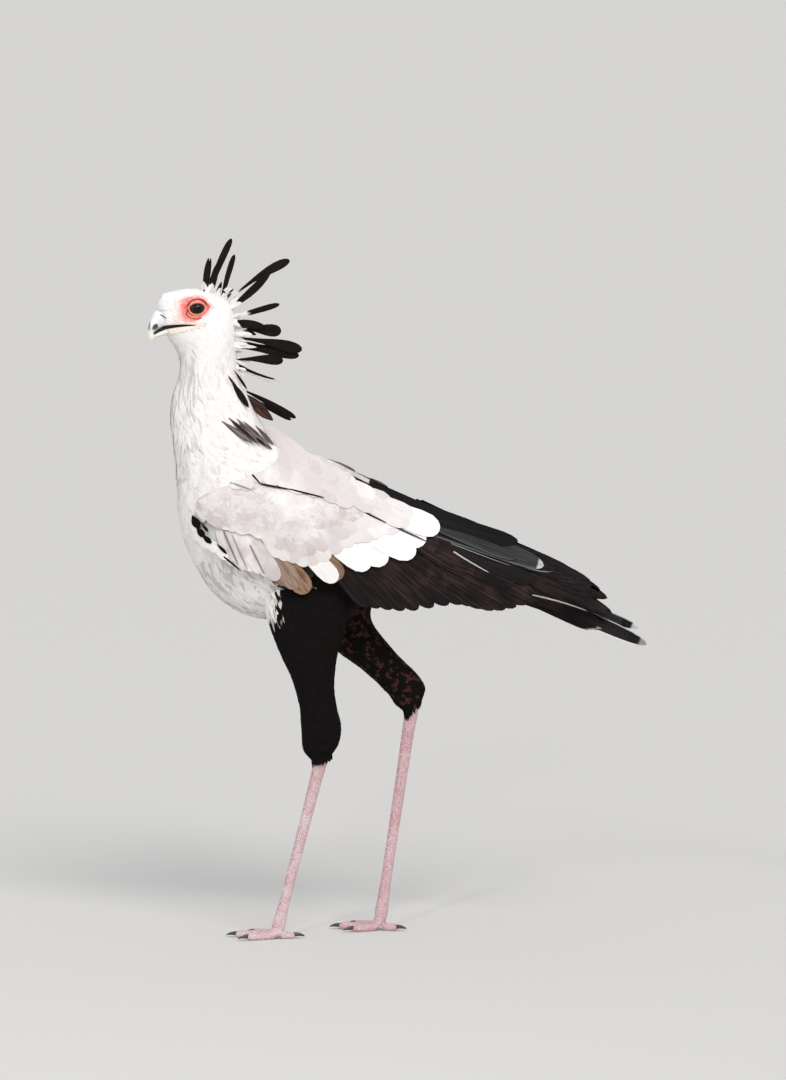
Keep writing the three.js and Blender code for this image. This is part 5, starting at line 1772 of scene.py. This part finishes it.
def buildTail():
    tail = {
        "root": (220, 573), "slope": -22.3, "pairs": 6, "middle": {-1: (491, 458), 1: (479, 481)},
        "roll": 46, "wide": 30,
    }
    a = math.radians(tail["slope"])
    ahead = np.array([math.cos(a), 0, math.sin(a)])
    up = np.array([-math.sin(a), 0, math.cos(a)])

    def onTail(along, across, rise):
        p = np.array([tail["root"][0], 0, tail["root"][1]]) + ahead * along + up * (rise - 0.006 * across**2)
        p[1] = across
        return p

    items = []
    marks = {key: [] for key in ("warm", "ash", "tipped", "rimLow", "rimHigh", "banded")}
    for pair in range(tail["pairs"]):
        for sign in (-1, 1):
            fan = 1 + 1.8 * pair
            layer = -1.3 * pair - (0.65 if sign > 0 else 0)
            roll = math.radians(tail["roll"] if pair == 0 else 30 - 3 * pair)
            centre = 8.6 if pair == 0 else 9 + fan
            root = onTail(4, sign * centre * 0.8, layer)
            if pair == 0:
                tip = np.array([tail["middle"][sign][0], sign * 9.5, tail["middle"][sign][1]])
            else:
                tip = onTail(226 - 5 * pair, sign * (centre + fan * 0.8), layer - 4)
            facing = up * math.cos(roll) + np.array([0, sign * math.sin(roll), 0])
            items.append((root, tip, up * 3.0, facing, tail["wide"] if pair == 0 else 25))
            marks["warm"].append(0.2)
            marks["tipped"].append(1.0 if pair == 0 and sign > 0 else 0.3)
            marks["banded"].append(1.0 if pair == 0 else 0.0)
            marks["ash"].append(0.75 if pair == 0 and sign > 0 else 0.12 if pair == 0 else 0.0)
            marks["rimLow"].append(0.8 if pair == 0 else 0.0)
            marks["rimHigh"].append(0.5 if pair == 0 else 0.0)
    vanes = freeVanes("tailFeathers", items, "flight", 7, 0.7, 0.03, marks, (0, 4))
    finish(vanes, flight, "black_plumage", "tail")


crest = [  # root x, z, y, tip x, z, y, bow, width, shape, white up to, and colour
    (-194, 1006, -8, -183.7, 1060, -14, -3, 3.6, "strap", 0.0, "black"),
    (-187, 1004, -3, -151.6, 1088.6, 2, 2, 10.8, "strap", 0.0, "smokeBase"),
    (-193, 1003, -10, -187, 1060, -13, 0, 10.5, "leaf", 0.0, "smokeBase"),
    (-185, 1003, -7, -173, 1052, -6, 0, 11, "leaf", 0.0, "smokeBase"),
    (-188, 1005, 8, -180, 1034, 13, 0, 8, "leaf", 0.1, "smoky"),
    (-166, 994, -4, -147, 1064.5, -6, 1.5, 8.8, "strap", 0.1, "black"),
    (-175, 999, -10, -166.8, 1023, -13, 0, 6.4, "leaf", 0.1, "black"),
    (-160, 995, 6, -149, 1011, 9, 0, 4.5, "leaf", 0.1, "brown"),
    (-153, 993, 3, -61.9, 1054.7, 6, 6, 14.5, "paddle", 0.22, "black"),
    (-150, 985, -6, -89, 1041.5, -12, -3, 12.5, "leaf", 0.18, "black"),
    (-150, 967, -8, -77.6, 988.3, -12, 0, 9.5, "strap", 0.4, "black"),
    (-148, 960, -12, -100, 955, -20, 0, 14, "leaf", 0.1, "black"),
    (-146, 952, -4, -75, 945.6, -6, 0, 20, "paddle", 0.15, "black"),
    (-140, 950, 8, -114, 938, 14, 0, 8.5, "leaf", 0.0, "black"),
    (-149, 935, -3, -43, 916.3, -4, 3, 18.5, "paddle", 0.12, "black"),
    (-148, 934, 6, -50, 908, 10, -3, 16.5, "paddle", 0.1, "black"),
    (-148, 920, 2, -47.7, 906.8, 3, 1, 15.5, "paddle", 0.12, "black"),
    (-150, 900, -8, -72, 900, -10, 3, 16.5, "paddle", 0.12, "black"),
    (-146, 924, -10, -112.5, 921.5, -14, 0, 5.5, "leaf", 1.0, "smokeBase"),
    (-145, 942, -9, -119, 941, -13, 0, 9, "leaf", 1.0, "smokeBase"),
    (-148, 899, -9, -84, 871.5, -11, -4, 4.6, "thread", 0.0, "black"),
    (-146, 893, -5, -73, 866, -6, -1, 3.2, "thread", 1.0, "blush"),
    (-147, 890, 5, -84, 862, 7, -1, 2.6, "thread", 1.0, "blush"),
    (-143, 880, -22, -127.5, 857, -24, 0, 4.5, "leaf", 0.0, "black"),
    (-160, 882, -27, -134, 848, -30, 0, 4, "leaf", 0.0, "black"),
    (-152, 868, -26, -128, 838, -30, 0, 7.5, "leaf", 0.0, "brown"),
    (-146, 862, -30, -125, 830, -34, 0, 10.5, "leaf", 0.0, "black"),
    (-126, 850, -2, -52.6, 810.8, -6, 1, 10, "strap", 0.0, "black"),
    (-122, 840, 6, -60, 806, 10, 0, 7.5, "strap", 0.0, "black"),
    (-126, 843, -9, -91, 809.8, -18, 0, 18, "leaf", 0.0, "brown"),
    (-124, 836, 2, -88, 806, 4, 0, 14, "leaf", 0.15, "brown"),
    (-160, 806, -50, -119, 777, -57, 0, 9, "leaf", 0.0, "smoky"),
    (-154, 812, -46, -110, 776, -54, 0, 10, "leaf", 0.0, "smoky"),
    (-148, 815, -42, -101, 773, -50, 0, 10, "leaf", 0.0, "smoky"),
    (-140, 812, -38, -92, 768, -46, 0, 11, "leaf", 0.0, "smoky"),
    (-132, 800, -34, -89, 766, -42, 0, 10, "leaf", 0.0, "smoky"),
    (-128, 808, -26, -86, 772, -34, 0, 10, "leaf", 0.0, "smoky"),
    (-150, 811, -48, -113, 779, -55.5, 0, 5, "leaf", 0.0, "brown"),
    (-138, 806, -42, -97, 771, -51.5, 0, 4.5, "leaf", 0.0, "black"),
    (-140, 812, 38, -92, 768, 46, 0, 11, "leaf", 0.0, "smoky"),
    (-150, 812, 44, -104, 774, 52, 0, 10, "leaf", 0.0, "smoky"),
]


def buildCrest():
    parts, first, total = [], 0, 7
    for shape in ("strap", "leaf", "paddle", "thread"):
        rows = [row for row in crest if row[8] == shape]
        items = []
        for x, z, y, tipX, tipZ, tipY, bow, width, *_ in rows:
            root, tip = np.array([x, y, z], float), np.array([tipX, tipY, tipZ], float)
            way = (tip - root) / np.linalg.norm(tip - root)
            arch = np.array([-way[2], 0, way[0]]) * bow * 2
            items.append((root - way * 8, tip, arch, np.array([0.1, 1 if y <= 0 else -1, 0.15]), width))
        marks = {
            "whiteTo": [row[9] for row in rows],
            "warm": [1.0 if row[10] == "brown" else 0.12 for row in rows],
        }
        for key in ("smokeBase", "blush", "smoky"):
            marks[key] = [float(row[10] == key) for row in rows]
        parts.append(freeVanes("crest", items, shape, 7, 0.55, 0.05, marks, (first, total)))
        first += len(rows)
    finish(joinAll("crestFeathers", parts), crestPaint, "black_plumage")


def buildTufts():  # loose white feathers round each crest feather's root
    items = []
    for x, z, y, tipX, tipZ, tipY, *_ in crest[:23]:
        way = np.array([tipX - x, tipY - y, tipZ - z])
        way = way / np.linalg.norm(way)
        for _ in range(4):
            stray = way + rng.normal(0, 0.22, 3)
            stray = stray / np.linalg.norm(stray)
            root = np.array([x, y, z]) + rng.normal(0, 2.5, 3) - stray * 6
            side = np.array([rng.normal(0, 0.3), 1, rng.normal(0, 0.3)])
            tip = root + stray * rng.uniform(16, 28)
            items.append((root, tip, np.array([0, 0, 1.5]), side, rng.uniform(5, 8)))
    marks = {"tone": 0.3 * rng.uniform(0, 1, len(items))}
    tufts = freeVanes("crestTufts", items, "lance", 3, 0.3, 0.05, marks, (0, 12))
    finish(tufts, plumage, "white_plumage")


buildTail()
buildCrest()
buildTufts()
print("tail and crest ready")
